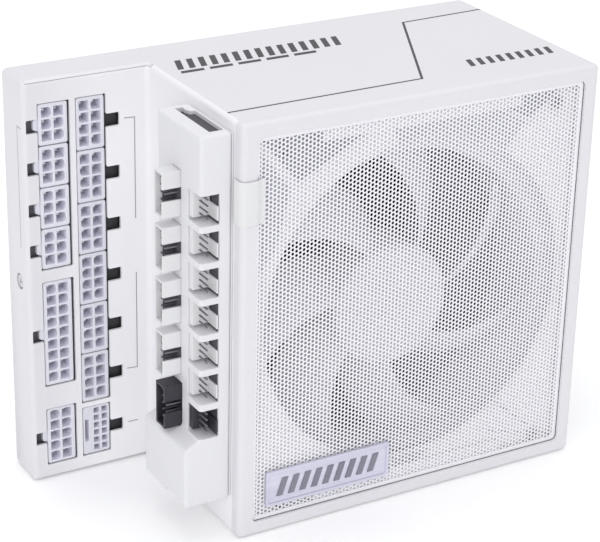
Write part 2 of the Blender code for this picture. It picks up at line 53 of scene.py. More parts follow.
O = Vector((cover_hi.x - 138.5 * MM, cover_lo.y, cover_lo.z))
H = (cover_hi.z - cover_lo.z) / MM
D, WF, EXT, STEP = 86.0, 138.5, 46.0, 68.0


def P(x, y, z):
    return O + Vector((x, y, z)) * MM


def node_mm(name):
    """A CAD node's low and high corners in datum millimetres."""
    lo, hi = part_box(name)
    return [(v - O) / MM for v in (lo, hi)]


# ------------------------------------------------------------------ camera
cam_data = bpy.data.cameras.new("camera")
cam_data.sensor_width = 36.0
cam_data.sensor_fit = "HORIZONTAL"
cam_data.lens = 2061.2876 * 36.0 / 600.0
cam_data.clip_start, cam_data.clip_end = 0.01, 20
cam = bpy.data.objects.new("camera", cam_data)
bpy.context.scene.collection.objects.link(cam)
right = Vector((0.8692422860603473, -0.4938907607035576, 0.022130626205386417))
down = Vector((-0.18475996502361008, -0.36604430200032073, -0.9120719951284396))
ahead = Vector((0.45856472111257723, 0.7887226923734091, -0.4094324255431964))
m = Matrix((right, -down, -ahead)).transposed().to_4x4()
m.translation = P(-286.81988, -530.60640, 371.61439)
cam.matrix_world = m
bpy.context.scene.camera = cam

# ------------------------------------------------------------------ materials
MATS = {}


def nodes_of(name):
    mat = bpy.data.materials.new(name)
    mat.use_nodes = True
    nt = mat.node_tree
    MATS[name] = mat
    return mat, nt, nt.nodes["Principled BSDF"]


def tex_coord(nt, scale=(1, 1, 1)):
    c = nt.nodes.new("ShaderNodeTexCoord")
    mp = nt.nodes.new("ShaderNodeMapping")
    mp.inputs["Scale"].default_value = scale
    nt.links.new(c.outputs["Object"], mp.inputs["Vector"])
    return mp.outputs["Vector"]


def noise(nt, vec, scale, detail=3.0, rough=0.5):
    n = nt.nodes.new("ShaderNodeTexNoise")
    n.inputs["Scale"].default_value = scale
    n.inputs["Detail"].default_value = detail
    n.inputs["Roughness"].default_value = rough
    nt.links.new(vec, n.inputs["Vector"])
    return n.outputs["Fac"]


def ranged(nt, fac, lo, hi, a=0.3, b=0.7):
    r = nt.nodes.new("ShaderNodeMapRange")
    r.inputs["From Min"].default_value = a
    r.inputs["From Max"].default_value = b
    r.inputs["To Min"].default_value = lo
    r.inputs["To Max"].default_value = hi
    nt.links.new(fac, r.inputs["Value"])
    return r.outputs["Result"]


def mixed(nt, fac, a, b):
    x = nt.nodes.new("ShaderNodeMix")
    x.data_type = "RGBA"
    x.inputs["A"].default_value = (*a, 1)
    x.inputs["B"].default_value = (*b, 1)
    nt.links.new(fac, x.inputs["Factor"])
    return x.outputs["Result"]


def bumped(nt, bsdf, fac, strength, distance):
    b = nt.nodes.new("ShaderNodeBump")
    b.inputs["Strength"].default_value = strength
    b.inputs["Distance"].default_value = distance
    nt.links.new(fac, b.inputs["Height"])
    nt.links.new(b.outputs["Normal"], bsdf.inputs["Normal"])


def surface(name, dark, light, rough=(0.4, 0.5), grain=1500.0, bump=(0.2, 0.00003), patch=35.0,
            metal=0.0, stretch=(1, 1, 1), spec=0.5, coat=0.0, detail=3.0):
    """Colour that drifts slowly between two shades, with fine grain in the bump and the roughness."""
    mat, nt, b = nodes_of(name)
    vec = tex_coord(nt, stretch)
    slow = noise(nt, vec, patch, 2.0)
    fine = noise(nt, vec, grain, detail, 0.6)
    nt.links.new(mixed(nt, ranged(nt, slow, 0, 1), dark, light), b.inputs["Base Color"])
    nt.links.new(ranged(nt, fine, rough[0], rough[1]), b.inputs["Roughness"])
    b.inputs["Metallic"].default_value = metal
    b.inputs["Specular IOR Level"].default_value = spec
    b.inputs["Coat Weight"].default_value = coat
    bumped(nt, b, fine, *bump)
    mat.diffuse_color = (*light, 1)
    return mat


COAT = surface("white_powder_coat", (0.738, 0.733, 0.762), (0.752, 0.746, 0.774), (0.36, 0.5), 1400, (0.25, 0.00003), spec=0.45)


def panel_coat_painted_fill():
    """Powder coat of the socket side with painted fill light: a little lighter towards the inside corner of the step
    and lower down, where the deep section shades it.
    """
    mat, nt, b = nodes_of("white_powder_coat_painted_fill")
    vec = tex_coord(nt)
    sep = nt.nodes.new("ShaderNodeSeparateXYZ")
    nt.links.new(vec, sep.inputs["Vector"])
    fx = nt.nodes.new("ShaderNodeMapRange")
    fx.interpolation_type = "SMOOTHSTEP"
    fx.inputs["From Min"].default_value = (O.x + -45.2 * MM)
    fx.inputs["From Max"].default_value = (O.x + -14.0 * MM)
    nt.links.new(sep.outputs["X"], fx.inputs["Value"])
    fill_by_height = nt.nodes.new("ShaderNodeMapRange")
    fill_by_height.interpolation_type = "SMOOTHSTEP"
    fill_by_height.inputs["From Min"].default_value = (O.z + 150.0 * MM)
    fill_by_height.inputs["From Max"].default_value = (O.z + 112.0 * MM)
    fill_by_height.inputs["To Min"].default_value = 0.62
    fill_by_height.inputs["To Max"].default_value = 1.0
    nt.links.new(sep.outputs["Z"], fill_by_height.inputs["Value"])
    mul = nt.nodes.new("ShaderNodeMath")
    mul.operation = "MULTIPLY"
    nt.links.new(fx.outputs["Result"], mul.inputs[0])
    nt.links.new(fill_by_height.outputs["Result"], mul.inputs[1])
    fine = noise(nt, vec, 1400, 3.0, 0.6)
    jitter = nt.nodes.new("ShaderNodeMath")
    jitter.operation = "MULTIPLY_ADD"
    jitter.inputs[1].default_value = 0.06
    nt.links.new(noise(nt, vec, 35.0, 2.0), jitter.inputs[0])
    nt.links.new(mul.outputs[0], jitter.inputs[2])
    # painted fill light: the coat is mixed towards a lighter white near the step and low on the panel
    nt.links.new(mixed(nt, jitter.outputs[0], (0.738, 0.733, 0.762), (0.925, 0.92, 0.94)), b.inputs["Base Color"])
    nt.links.new(ranged(nt, fine, 0.36, 0.5), b.inputs["Roughness"])
    b.inputs["Specular IOR Level"].default_value = 0.45
    bumped(nt, b, fine, 0.25, 0.00003)
    return mat


COAT_PAINTED_FILL = panel_coat_painted_fill()
# dark grey for the casing's inner faces: painted shade
COAT_INSIDE_SHADE = surface("inside_of_sheet_painted_shade", (0.30, 0.30, 0.32), (0.36, 0.36, 0.38), (0.4, 0.55), 900, (0.2, 0.00003))
MESHMAT = surface("filter_coat", (0.865, 0.86, 0.895), (0.885, 0.88, 0.915), (0.4, 0.5), 1800, (0.15, 0.00002), spec=0.4)
PLATE = surface("plate_coat", (0.93, 0.93, 0.945), (0.95, 0.95, 0.96), (0.42, 0.55), 1400, (0.2, 0.00003))
FANMAT = surface("fan_plastic", (0.88, 0.865, 0.915), (0.90, 0.885, 0.935), (0.62, 0.75), 2600, (0.3, 0.00002), spec=0.3)
HUBMAT = surface("hub_plastic", (0.755, 0.755, 0.775), (0.775, 0.775, 0.795), (0.42, 0.56), 3200, (0.35, 0.00002))
HEADER = surface("header_nylon", (0.74, 0.74, 0.75), (0.765, 0.765, 0.775), (0.38, 0.5), 2600, (0.25, 0.00002))
# behind the latch notches: painted shade, paler on the left-hand windows; the darker one is also the modular board's
# own colour
SLOT_SHADE_LEFT = surface("latch_slot_painted_shade_left", (0.085, 0.084, 0.096), (0.1, 0.099, 0.112), (0.5, 0.65), 900, (0.2, 0.00003))
BOARD_DARK_AND_SLOT_SHADE = surface("board_dark_and_latch_slot_shade", (0.034, 0.034, 0.038), (0.042, 0.042, 0.047), (0.5, 0.65), 900, (0.2, 0.00003))
NYLON = surface("socket_nylon", (0.735, 0.737, 0.80), (0.755, 0.757, 0.82), (0.33, 0.46), 2400, (0.25, 0.00002))
# socket cells: the housing nylon made lighter, as painted light inside the cavities
CELL_LIT = surface("socket_cavity_painted_light", (0.85, 0.85, 0.95), (0.88, 0.88, 0.97), (0.4, 0.5), 2400, (0.2, 0.00002))
BLACK = surface("black_nylon", (0.026, 0.024, 0.034), (0.034, 0.032, 0.043), (0.35, 0.5), 2600, (0.35, 0.00002))
# hub contacts: metal darkened as painted shade, for the shadows along the pins
PIN_SHADED = surface("contact_painted_shade", (0.16, 0.155, 0.175), (0.22, 0.215, 0.24), (0.35, 0.5), 1200, (0.2, 0.00002), metal=0.5)
HEADER_IN = surface("header_floor", (0.12, 0.118, 0.14), (0.155, 0.152, 0.178), (0.45, 0.6), 2600, (0.3, 0.00002))
SHROUD = surface("header_inside", (0.055, 0.053, 0.066), (0.07, 0.068, 0.08), (0.45, 0.6), 2600, (0.3, 0.00002))
PIN = surface("tin_plate", (0.70, 0.70, 0.71), (0.80, 0.80, 0.81), (0.18, 0.32), 900, (0.1, 0.00001), metal=1.0)
ZINC = surface("zinc_screw", (0.52, 0.52, 0.55), (0.66, 0.66, 0.68), (0.25, 0.42), 700, (0.2, 0.00002), metal=1.0)
INK = surface("grey_ink", (0.055, 0.055, 0.06), (0.068, 0.068, 0.074), (0.45, 0.6), 2500, (0.1, 0.00001))
FINE_INK = surface("light_grey_ink", (0.30, 0.30, 0.31), (0.34, 0.34, 0.35), (0.45, 0.6), 2500, (0.1, 0.00001))
BADGE = surface("brushed_badge", (0.62, 0.61, 0.73), (0.72, 0.71, 0.82), (0.3, 0.46), 900, (0.25, 0.00002), patch=400, metal=0.6, stretch=(0.03, 1, 1))
BADGE_DARK = surface("badge_recess", (0.22, 0.22, 0.27), (0.27, 0.27, 0.32), (0.35, 0.5), 1500, (0.2, 0.00002), metal=0.6)
BOARD = surface("board_mask", (0.016, 0.017, 0.02), (0.024, 0.025, 0.03), (0.35, 0.5), 500, (0.2, 0.00002))
GREEN = surface("green_board", (0.10, 0.125, 0.13), (0.125, 0.15, 0.155), (0.3, 0.45), 300, (0.3, 0.00003))
ALU = surface("extruded_aluminium", (0.62, 0.62, 0.64), (0.72, 0.72, 0.74), (0.3, 0.45), 600, (0.2, 0.00002), metal=1.0, stretch=(1, 1, 0.05))
FERRITE = surface("ferrite", (0.06, 0.06, 0.068), (0.09, 0.09, 0.1), (0.5, 0.7), 900, (0.4, 0.00004))
FILM = surface("film_case", (0.60, 0.45, 0.06), (0.70, 0.55, 0.09), (0.3, 0.45), 800, (0.2, 0.00002))
MYLAR = surface("film_sheet", (0.55, 0.55, 0.5), (0.62, 0.62, 0.57), (0.3, 0.4), 200, (0.1, 0.00003))
# mid grey: painted shade, on the fan's struts and on a sheet behind the fan
SHADE_FILM = surface("painted_shade_film", (0.21, 0.195, 0.26), (0.25, 0.235, 0.30), (0.4, 0.55), 300, (0.1, 0.00003))
SLEEVE = surface("capacitor_sleeve", (0.05, 0.05, 0.06), (0.07, 0.07, 0.08), (0.2, 0.3), 500, (0.1, 0.00002))
BRASS = surface("brass", (0.62, 0.46, 0.2), (0.72, 0.55, 0.25), (0.22, 0.36), 700, (0.1, 0.00002), metal=1.0)
MAGNET = surface("plated_magnet", (0.34, 0.34, 0.36), (0.42, 0.42, 0.44), (0.25, 0.4), 700, (0.1, 0.00002), metal=1.0)
STEEL = surface("stamped_steel", (0.50, 0.50, 0.52), (0.60, 0.60, 0.62), (0.3, 0.45), 700, (0.2, 0.00002), metal=1.0)


def wound(name, a, b):
    """Lacquered wire laid side by side."""
    mat, nt, bs = nodes_of(name)
    vec = tex_coord(nt)
    w = nt.nodes.new("ShaderNodeTexWave")
    w.wave_type = "RINGS"
    w.rings_direction = "Y"
    w.inputs["Scale"].default_value = 300
    nt.links.new(vec, w.inputs["Vector"])
    nt.links.new(mixed(nt, w.outputs["Fac"], a, b), bs.inputs["Base Color"])
    bs.inputs["Metallic"].default_value = 0.8
    nt.links.new(ranged(nt, noise(nt, vec, 300), 0.25, 0.4), bs.inputs["Roughness"])
    bumped(nt, bs, w.outputs["Fac"], 0.6, 0.0002)
    return mat


COPPER = wound("lacquered_copper", (0.45, 0.16, 0.06), (0.72, 0.30, 0.13))


def woven(name, a, b):
    """Fine ribbed ribbon: cords across it and a soft weave between them."""
    mat, nt, bs = nodes_of(name)
    vec = tex_coord(nt)
    w = nt.nodes.new("ShaderNodeTexWave")
    w.bands_direction = "Z"
    w.inputs["Scale"].default_value = 420
    w.inputs["Distortion"].default_value = 0.0
    nt.links.new(vec, w.inputs["Vector"])
    w2 = nt.nodes.new("ShaderNodeTexWave")
    w2.bands_direction = "DIAGONAL"
    w2.inputs["Scale"].default_value = 600
    nt.links.new(vec, w2.inputs["Vector"])
    mul = nt.nodes.new("ShaderNodeMath")
    mul.operation = "MULTIPLY"
    nt.links.new(w.outputs["Fac"], mul.inputs[0])
    nt.links.new(w2.outputs["Fac"], mul.inputs[1])
    nt.links.new(mixed(nt, mul.outputs[0], a, b), bs.inputs["Base Color"])
    nt.links.new(ranged(nt, noise(nt, vec, 900), 0.7, 0.9), bs.inputs["Roughness"])
    bs.inputs["Sheen Weight"].default_value = 0.2
    bumped(nt, bs, mul.outputs[0], 0.2, 0.00003)
    return mat


RIBBON = woven("ribbon", (0.745, 0.748, 0.745), (0.765, 0.768, 0.765))


# ------------------------------------------------------------------ mesh helpers
def add(name, bm, mat, body, smooth=None, weighted=True, mats=None):
    """A finished piece. smooth is the angle above which edges stay sharp."""
    bmesh.ops.recalc_face_normals(bm, faces=bm.faces[:])
    me = bpy.data.meshes.new(name)
    bm.to_mesh(me)
    bm.free()
    return place(name, me, mat, body, smooth, weighted, mats)


def place(name, me, mat, body, smooth=None, weighted=True, mats=None):
    o = bpy.data.objects.new(name, me)
    bpy.context.scene.collection.objects.link(o)
    for mt in (mats or [mat]):
        me.materials.append(mt)
    if smooth:
        me.shade_smooth()
        me.set_sharp_from_angle(angle=math.radians(smooth))
        if weighted:
            w = o.modifiers.new("weighted", "WEIGHTED_NORMAL")
            w.keep_sharp = True
    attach(o, body)
    return o


def into(bm, x, y, z, mat_index=0):
    """Adds a plain block to a mesh and returns its faces."""
    r = bmesh.ops.create_cube(bm, size=1.0)
    bmesh.ops.scale(bm, vec=((x[1] - x[0]) * MM, (y[1] - y[0]) * MM, (z[1] - z[0]) * MM), verts=r["verts"])
    bmesh.ops.translate(bm, vec=P((x[0] + x[1]) / 2, (y[0] + y[1]) / 2, (z[0] + z[1]) / 2), verts=r["verts"])
    fs = list({f for v in r["verts"] for f in v.link_faces})
    for f in fs:
        f.material_index = mat_index
    return fs


def soft_block(bm, x, y, z, r=0.3, seg=2, mat_index=0):
    """Adds a block with rounded edges."""
    fs = into(bm, x, y, z, mat_index)
    es = list({e for f in fs for e in f.edges})
    out = bmesh.ops.bevel(bm, geom=es, offset=r * MM, segments=seg, profile=0.5, affect="EDGES", clamp_overlap=True)
    for f in out["faces"]:
        f.material_index = mat_index


TURN = {"X": Matrix.Rotation(math.pi / 2, 4, "Y"), "Y": Matrix.Rotation(-math.pi / 2, 4, "X"), "Z": Matrix.Identity(4)}


def rod(bm, axis, at, r, length, seg=32, r2=None, mat_index=0):
    q = bmesh.ops.create_cone(bm, cap_ends=True, segments=seg, radius1=r * MM, radius2=(r if r2 is None else r2) * MM,
                              depth=length * MM, matrix=Matrix.Translation(P(*at)) @ TURN[axis])
    for f in {f for v in q["verts"] for f in v.link_faces}:
        f.material_index = mat_index


YFACE = lambda a, b, t: P(a, t, b)      # outlines in x and z, depth along y
XFACE = lambda a, b, t: P(t, a, b)      # outlines in y and z, depth along x
ZFACE = lambda a, b, t: P(a, b, t)      # outlines in x and y, depth along z


def rrect(x0, x1, z0, z1, r=0.3, grow=0.0, n=3):
    """A rounded rectangle, anticlockwise. r is one radius, or four: low-low, high-low, high-high, low-high."""
    rs = [r] * 4 if not isinstance(r, (tuple, list)) else list(r)
    x0, x1, z0, z1 = x0 - grow, x1 + grow, z0 - grow, z1 + grow
    pts = []
    for (cx, cz, q, a0) in ((x0, z0, rs[0], 180), (x1, z0, rs[1], 270), (x1, z1, rs[2], 0), (x0, z1, rs[3], 90)):
        steps = n if q < 0.8 else n + 3
        q = max(q + grow, 0.02)
        ox, oz = cx + (q if cx == x0 else -q), cz + (q if cz == z0 else -q)
        for i in range(steps + 1):
            t = math.radians(a0 + 90 * i / steps)
            pts.append((ox + q * math.cos(t), oz + q * math.sin(t)))
    return pts


def circle(cx, cz, r, n=64, grow=0.0):
    return [(cx + (r + grow) * math.cos(2 * math.pi * i / n), cz + (r + grow) * math.sin(2 * math.pi * i / n)) for i in range(n)]


def holed(bm, outer, holes, put, t_front, t_back, c=0.15, mat_index=0, steps=2, wall_index=None, back_open=False):
    """A slab with holes. outer and holes are functions of grow. The front rims are rounded by c."""
    sgn = 1 if t_back > t_front else -1
    prof = [(c * (1 - math.sin(math.pi / 2 * i / steps)), c * (1 - math.cos(math.pi / 2 * i / steps))) for i in range(steps + 1)]
    # prof: (grow, depth): rim at the front is grown by c, and is nominal at depth c
    loops = []
    for k, fn in enumerate([outer] + list(holes)):
        s = -1 if k == 0 else 1
        rings = [[bm.verts.new(put(a, b, t_front + sgn * d)) for a, b in fn(s * g)] for g, d in prof]
        rings.append([bm.verts.new(put(a, b, t_back)) for a, b in fn(0)])
        loops.append(rings)
        for ra, rb in zip(rings, rings[1:]):
            n = len(ra)
            for i in range(n):
                j = (i + 1) % n
                f = bm.faces.new((ra[i], ra[j], rb[j], rb[i]))
                f.material_index = mat_index if (wall_index is None or k == 0) else wall_index
    for ring, t in ((0, t_front), (-1, t_back)):
        flat, polys = [], []
        for rings in loops:
            flat += rings[ring]
            polys.append([v.co for v in rings[ring]])
        for tri in tessellate_polygon(polys):
            try:
                f = bm.faces.new([flat[i] for i in tri])
                f.material_index = mat_index
            except ValueError:
                pass


def turned(bm, profile, at, seg=64, mat_index=0):
    """(radius, y) points turned about an axis along y. A profile that starts and ends at radius 0 is closed."""
    rings = []
    for r, y in profile:
        if r == 0:
            rings.append([bm.verts.new(P(at[0], y, at[1]))])
        else:
            rings.append([bm.verts.new(P(at[0] + r * math.cos(2 * math.pi * i / seg), y, at[1] + r * math.sin(2 * math.pi * i / seg)))
                          for i in range(seg)])
    pairs = list(zip(rings, rings[1:]))
    if len(rings[0]) > 1:
        pairs.append((rings[-1], rings[0]))
    for a, b in pairs:
        for i in range(seg):
            j = (i + 1) % seg
            if len(a) == 1:
                f = bm.faces.new((a[0], b[i], b[j]))
            elif len(b) == 1:
                f = bm.faces.new((a[i], b[0], a[j]))
            else:
                f = bm.faces.new((a[i], b[i], b[j], a[j]))
            f.material_index = mat_index


def arc(cx, cy, r, a0, a1, n=6):
    return [(cx + r * math.cos(math.radians(a0 + (a1 - a0) * i / n)), cy + r * math.sin(math.radians(a0 + (a1 - a0) * i / n)))
            for i in range(n + 1)]


def temp(bm):
    bmesh.ops.recalc_face_normals(bm, faces=bm.faces[:])
    me = bpy.data.meshes.new("tool")
    bm.to_mesh(me)
    bm.free()
    o = bpy.data.objects.new("tool", me)
    bpy.context.scene.collection.objects.link(o)
    return o


def prism_bm(outline, put, low, high, bevel=0.0, seg=3):
    bm = bmesh.new()
    vs = [bm.verts.new(put(a, b, low)) for a, b in outline]
    f = bm.faces.new(vs)
    r = bmesh.ops.extrude_face_region(bm, geom=[f])
    bmesh.ops.translate(bm, vec=put(0, 0, high) - put(0, 0, low), verts=[v for v in r["geom"] if isinstance(v, bmesh.types.BMVert)])
    if bevel:
        bmesh.ops.bevel(bm, geom=bm.edges[:], offset=bevel * MM, segments=seg, profile=0.5, affect="EDGES", clamp_overlap=True)
    bmesh.ops.recalc_face_normals(bm, faces=bm.faces[:])
    return bm


def cut(o, tools, op="DIFFERENCE"):
    """Applies Booleans in turn and returns the mesh. The tools and the object are removed."""
    for t in tools:
        md = o.modifiers.new("b", "BOOLEAN")
        md.operation = op if not isinstance(t, tuple) else t[1]
        md.object = t if not isinstance(t, tuple) else t[0]
        md.solver = "EXACT"
    bpy.context.view_layer.update()
    me = bpy.data.meshes.new_from_object(o.evaluated_get(bpy.context.evaluated_depsgraph_get()))
    for t in tools:
        bpy.data.objects.remove(t if not isinstance(t, tuple) else t[0], do_unlink=True)
    bpy.data.objects.remove(o, do_unlink=True)
    return me


def edged(o, width=0.15, seg=2, angle=50):
    b = o.modifiers.new("edges", "BEVEL")
    b.width = width * MM
    b.segments = seg
    b.limit_method = "ANGLE"
    b.angle_limit = math.radians(angle)
    b.harden_normals = False
    w = o.modifiers.get("weighted")
    if w:
        o.modifiers.move(len(o.modifiers) - 1, 0)
    return o


# ------------------------------------------------------------------ casing
plan = [(0, 0), (WF, 0), (WF, D), (-EXT, D), (-EXT, STEP), (0, STEP)]
inner_plan = [(1, 1), (WF - 1, 1), (WF - 1, D - 1), (-EXT + 1, D - 1), (-EXT + 1, STEP + 1), (1, STEP + 1)]
shell_bm = prism_bm(plan, ZFACE, 0, H, 2.0, 6)
shell = temp(shell_bm)
hollow = temp(prism_bm(inner_plan, ZFACE, 1, H - 1, 1.0, 4))
shell_me = cut(shell, [hollow])
g = 0.03
EDGE, RET, END_RET = 1.4, 5.0, 2.2


def tool_blocks(limits):
    bm = bmesh.new()
    for x, y, z in limits:
        into(bm, x, y, z)
    return temp(bm)


def tool_prism(outline, put, low, high):
    return temp(prism_bm(outline, put, low, high))


def sheet_piece(name, region, tools, node, coat=None):
    o = bpy.data.objects.new("sheet", shell_me.copy())
    bpy.context.scene.collection.objects.link(o)
    me = cut(o, list(tools) + [(tool_prism(region, ZFACE, -5, H + 5), "INTERSECT")])
    me.materials.clear()
    # faces that look into the casing get a dark grey: painted shade for the unlit inside
    for p in me.polygons:
        c = p.center + p.normal * 0.0015
        q = (c - O) / MM
        inside = (1.01 < q.x < WF - 1.01 and 1.01 < q.y < D - 1.01 and 1.01 < q.z < H - 1.01) or \
                 (-EXT + 1.01 < q.x < WF - 1.01 and STEP + 1.01 < q.y < D - 1.01 and 1.01 < q.z < H - 1.01)
        p.material_index = 1 if inside else 0
    ob = place(name, me, None, "casing", smooth=32, mats=[coat or COAT, COAT_INSIDE_SHADE])
    edged(ob, 0.07, 1, 50)
    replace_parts(ob, node)
    return ob


WIN = (5.35, 133.05, 5.2, 144.8)
sheet_piece("casing_cover", [
    (-1, -1), (WF + 1, -1), (WF + 1, END_RET), (WF - EDGE - g, END_RET), (WF - EDGE - g, D - 2.0),
    (-EXT + EDGE + g, D - 2.0), (-EXT + EDGE + g, 66.4), (EDGE + g, 66.4), (EDGE + g, RET), (-1, RET)],
    [tool_prism(rrect(*WIN, 2.0, n=5), YFACE, -3, 3),
     tool_blocks([((-1.1, 1.3), (66.1, 67.2), (H - 0.7, H + 4))]),
     tool_blocks([((-EXT - 1, EDGE + g + 0.01), (60, 69.4), (0.85, H - 0.85))])], "cover_shell")


def socket_rows(top, bottom, count, gap=0.4):
    h = (top - bottom - gap * (count + 1)) / count
    return [(top - gap * (i + 1) - h * (i + 1), top - gap * (i + 1) - h * i) for i in range(count)]


mid = lambda r: (r[0] + r[1]) / 2
rows8 = socket_rows(141.8, 26.9, 6)
rows6 = socket_rows(141.7, 81.3, 4)


def window(x, z, centres, side):
    """Window outline with rounded corners and a square notch for each latch."""
    r, n = 0.5, 3
    if side == "R":
        pts = [(x[0], z[0]), (x[1], z[0])]
        for c in sorted(centres):
            pts += [(x[1], c - 2.4), (x[1] + 4.9, c - 2.4), (x[1] + 4.9, c + 2.4), (x[1], c + 2.4)]
        pts += [(x[1], z[1]), (x[0], z[1])]
    else:
        pts = [(x[0], z[0]), (x[1], z[0]), (x[1], z[1]), (x[0], z[1])]
        for c in sorted(centres, reverse=True):
            pts += [(x[0], c + 2.4), (x[0] - 4.0, c + 2.4), (x[0] - 4.0, c - 2.4), (x[0], c - 2.4)]
    out = []
    k = len(pts)
    for i, p in enumerate(pts):
        a, b = Vector(pts[i - 1]) - Vector(p), Vector(pts[(i + 1) % k]) - Vector(p)
        a.normalize(), b.normalize()
        q = Vector(p)
        for s in range(n + 1):
            t = s / n
            u = q + a * r * (1 - t) ** 2 + b * r * t ** 2
            out.append((u.x, u.y))
    return tool_prism(out, YFACE, STEP - 3, STEP + 3)


screw_hole = bmesh.new()
rod(screw_hole, "X", (-EXT + 0.5, 75.0, 76.0), 2.95, 4, 32)
# the socket side takes the coat with painted fill light
sheet_piece("casing_socket_side", [
    (-1, RET + g), (EDGE, RET + g), (EDGE, 69.2), (-EXT + EDGE, 69.2), (-EXT + EDGE, D - 2.0),
    (-EXT - 1, D - 2.0), (-EXT - 1, 66.5), (-1, 66.5)],
    [window((-27.0, -15.75), (26.9, 141.8), [mid(r) for r in rows8], "R"),
     window((-40.7, -29.0), (81.3, 141.7), [mid(r) for r in rows6], "L"),
     window((-40.7, -28.9), (36.7, 77.0), [56.85], "L"),
     window((-40.7, -29.1), (5.6, 28.0), [16.8], "L"),
     window((-27.0, -15.95), (5.6, 25.3), [15.45], "R"),
     temp(screw_hole),
     tool_blocks([((-EXT + EDGE, 5), (66.1, 71), (H - 1.03, H + 2)), ((-EXT + EDGE, 5), (66.1, 71), (-2, 1.03))])],
    "socket_panel", COAT_PAINTED_FILL)

INLET, SWITCH = (58.0, 122.0), (58.0, 92.0)
MOUNT_HOLES = [(80.0, 6.0), (80.0, 144.0), (16.0, 6.0), (6.0, 120.0)]
hole_bm = bmesh.new()
for y, z in MOUNT_HOLES:
    rod(hole_bm, "X", (WF, y, z), 1.75, 6, 24)
sheet_piece("casing_back", [
    (-EXT - 1, D - 2.0 + g), (WF - EDGE, D - 2.0 + g), (WF - EDGE, END_RET + g),
    (WF + 1, END_RET + g), (WF + 1, D + 1), (-EXT - 1, D + 1)],
    [temp(hole_bm),
     tool_blocks([((WF - 4, WF + 4), (INLET[0] - 10.1, INLET[0] + 10.1), (INLET[1] - 13.9, INLET[1] + 13.9)),
                  ((WF - 4, WF + 4), (SWITCH[0] - 6.9, SWITCH[0] + 6.9), (SWITCH[1] - 10.1, SWITCH[1] + 10.1))]),
     tool_prism(rrect(10.0, 76.0, 9.0, 74.0, 1.5, n=4), XFACE, WF - 4, WF + 4)], "chassis_shell")
bpy.data.meshes.remove(shell_me)


# ------------------------------------------------------------------ printed lines
def top_at(x, y, h):
    """A point h above the casing's top, following its bends at both ends."""
    for cx, s in ((2.0, -1), (WF - 2.0, 1)):
        if (x - cx) * s > 0:
            t = (x - cx) * s / 2.0
            return P(cx + s * (2.0 + h) * math.sin(t), y, H - 2.0 + (2.0 + h) * math.cos(t))
    return P(x, y, H + h)


def strip(name, path, width, at, mat, closed=False):
    """A thin printed line of constant width along a path, with mitred corners."""
    pts = [Vector(p) for p in path]
    fine = []
    for a, b in zip(pts, pts[1:]):
        n = max(1, int((b - a).length / 4.0))
        if a.x < 2.5 or b.x < 2.5 or max(a.x, b.x) > 136:
            n = max(n, int((b - a).length / 0.4))
        fine += [a.lerp(b, i / n) for i in range(n)]
    fine.append(pts[-1])
    bm = bmesh.new()
    rows = []
    for i, p in enumerate(fine):
        d0 = (p - fine[i - 1]).normalized() if i else (fine[1] - p).normalized()
        d1 = (fine[i + 1] - p).normalized() if i + 1 < len(fine) else d0
        t = (d0 + d1).normalized()
        nrm = Vector((-t.y, t.x))
        k = width / 2 / max(0.3, nrm.dot(Vector((-d0.y, d0.x))))
        rows.append([bm.verts.new(at(p.x + s * nrm.x * k, p.y + s * nrm.y * k, h)) for s, h in ((1, -0.02), (1, 0.02), (-1, 0.02), (-1, -0.02))])
    for a, b in zip(rows, rows[1:]):
        for i in range(4):
            j = (i + 1) % 4
            bm.faces.new((a[i], a[j], b[j], b[i]))
    bm.faces.new(rows[0]), bm.faces.new(rows[-1])
    return add(name, bm, mat, "casing")


strip("print_top_line", [(1.3, 12.8), (75.0, 14.0), (102.6, 69.7), (138.2, 71.3)], 0.9, top_at, INK)


def slanted(name, x0, x1, y0, y1, count, fill, lean, mat, body="casing", put=None, h=(-0.02, 0.02)):
    """A row of plain slanted bars."""
    bm = bmesh.new()
    put = put or ZFACE
    base = H if put is ZFACE else 0
    pitch = (x1 - x0 - lean) / (count - 1 + fill)
    for i in range(count):
        a = x0 + pitch * i
        w = pitch * fill
        low = [bm.verts.new(put(*q, base + h[0])) for q in ((a, y0), (a + w, y0), (a + w + lean, y1), (a + lean, y1))]
        high = [bm.verts.new(put(*q, base + h[1])) for q in ((a, y0), (a + w, y0), (a + w + lean, y1), (a + lean, y1))]
        bm.faces.new(high), bm.faces.new(low)
        for k in range(4):
            j = (k + 1) % 4
            bm.faces.new((low[k], low[j], high[j], high[k]))
    return add(name, bm, mat, body)


slanted("print_top_stripes", 6.0, 72.5, 57.2, 66.4, 15, 0.52, 3.0, INK)
slanted("print_top_dashes", 5.4, 58.0, 53.4, 55.6, 5, 0.8, 0.7, INK)
slanted("print_top_marks", 97.0, 133.5, 17.4, 24.0, 9, 0.5, 2.0, INK)
face_at = lambda a, b, h: P(a, STEP - h, b)
strip("print_bracket_upper", [(-9.1, 131.9), (-5.2, 131.7), (-5.2, 94.5)], 0.35, face_at, FINE_INK)
strip("print_bracket_lower", [(-5.2, 74.0), (-5.2, 36.8), (-9.2, 37.1)], 0.35, face_at, FINE_INK)
strip("print_bracket_end", [(-5.2, 15.4), (-9.0, 15.4)], 0.35, face_at, FINE_INK)
end_at = lambda a, b, h: P(-EXT - h, a, b)
strip("print_bracket_side", [(69.8, 133.4), (72.8, 133.4), (72.8, 89.5)], 0.35, end_at, FINE_INK)

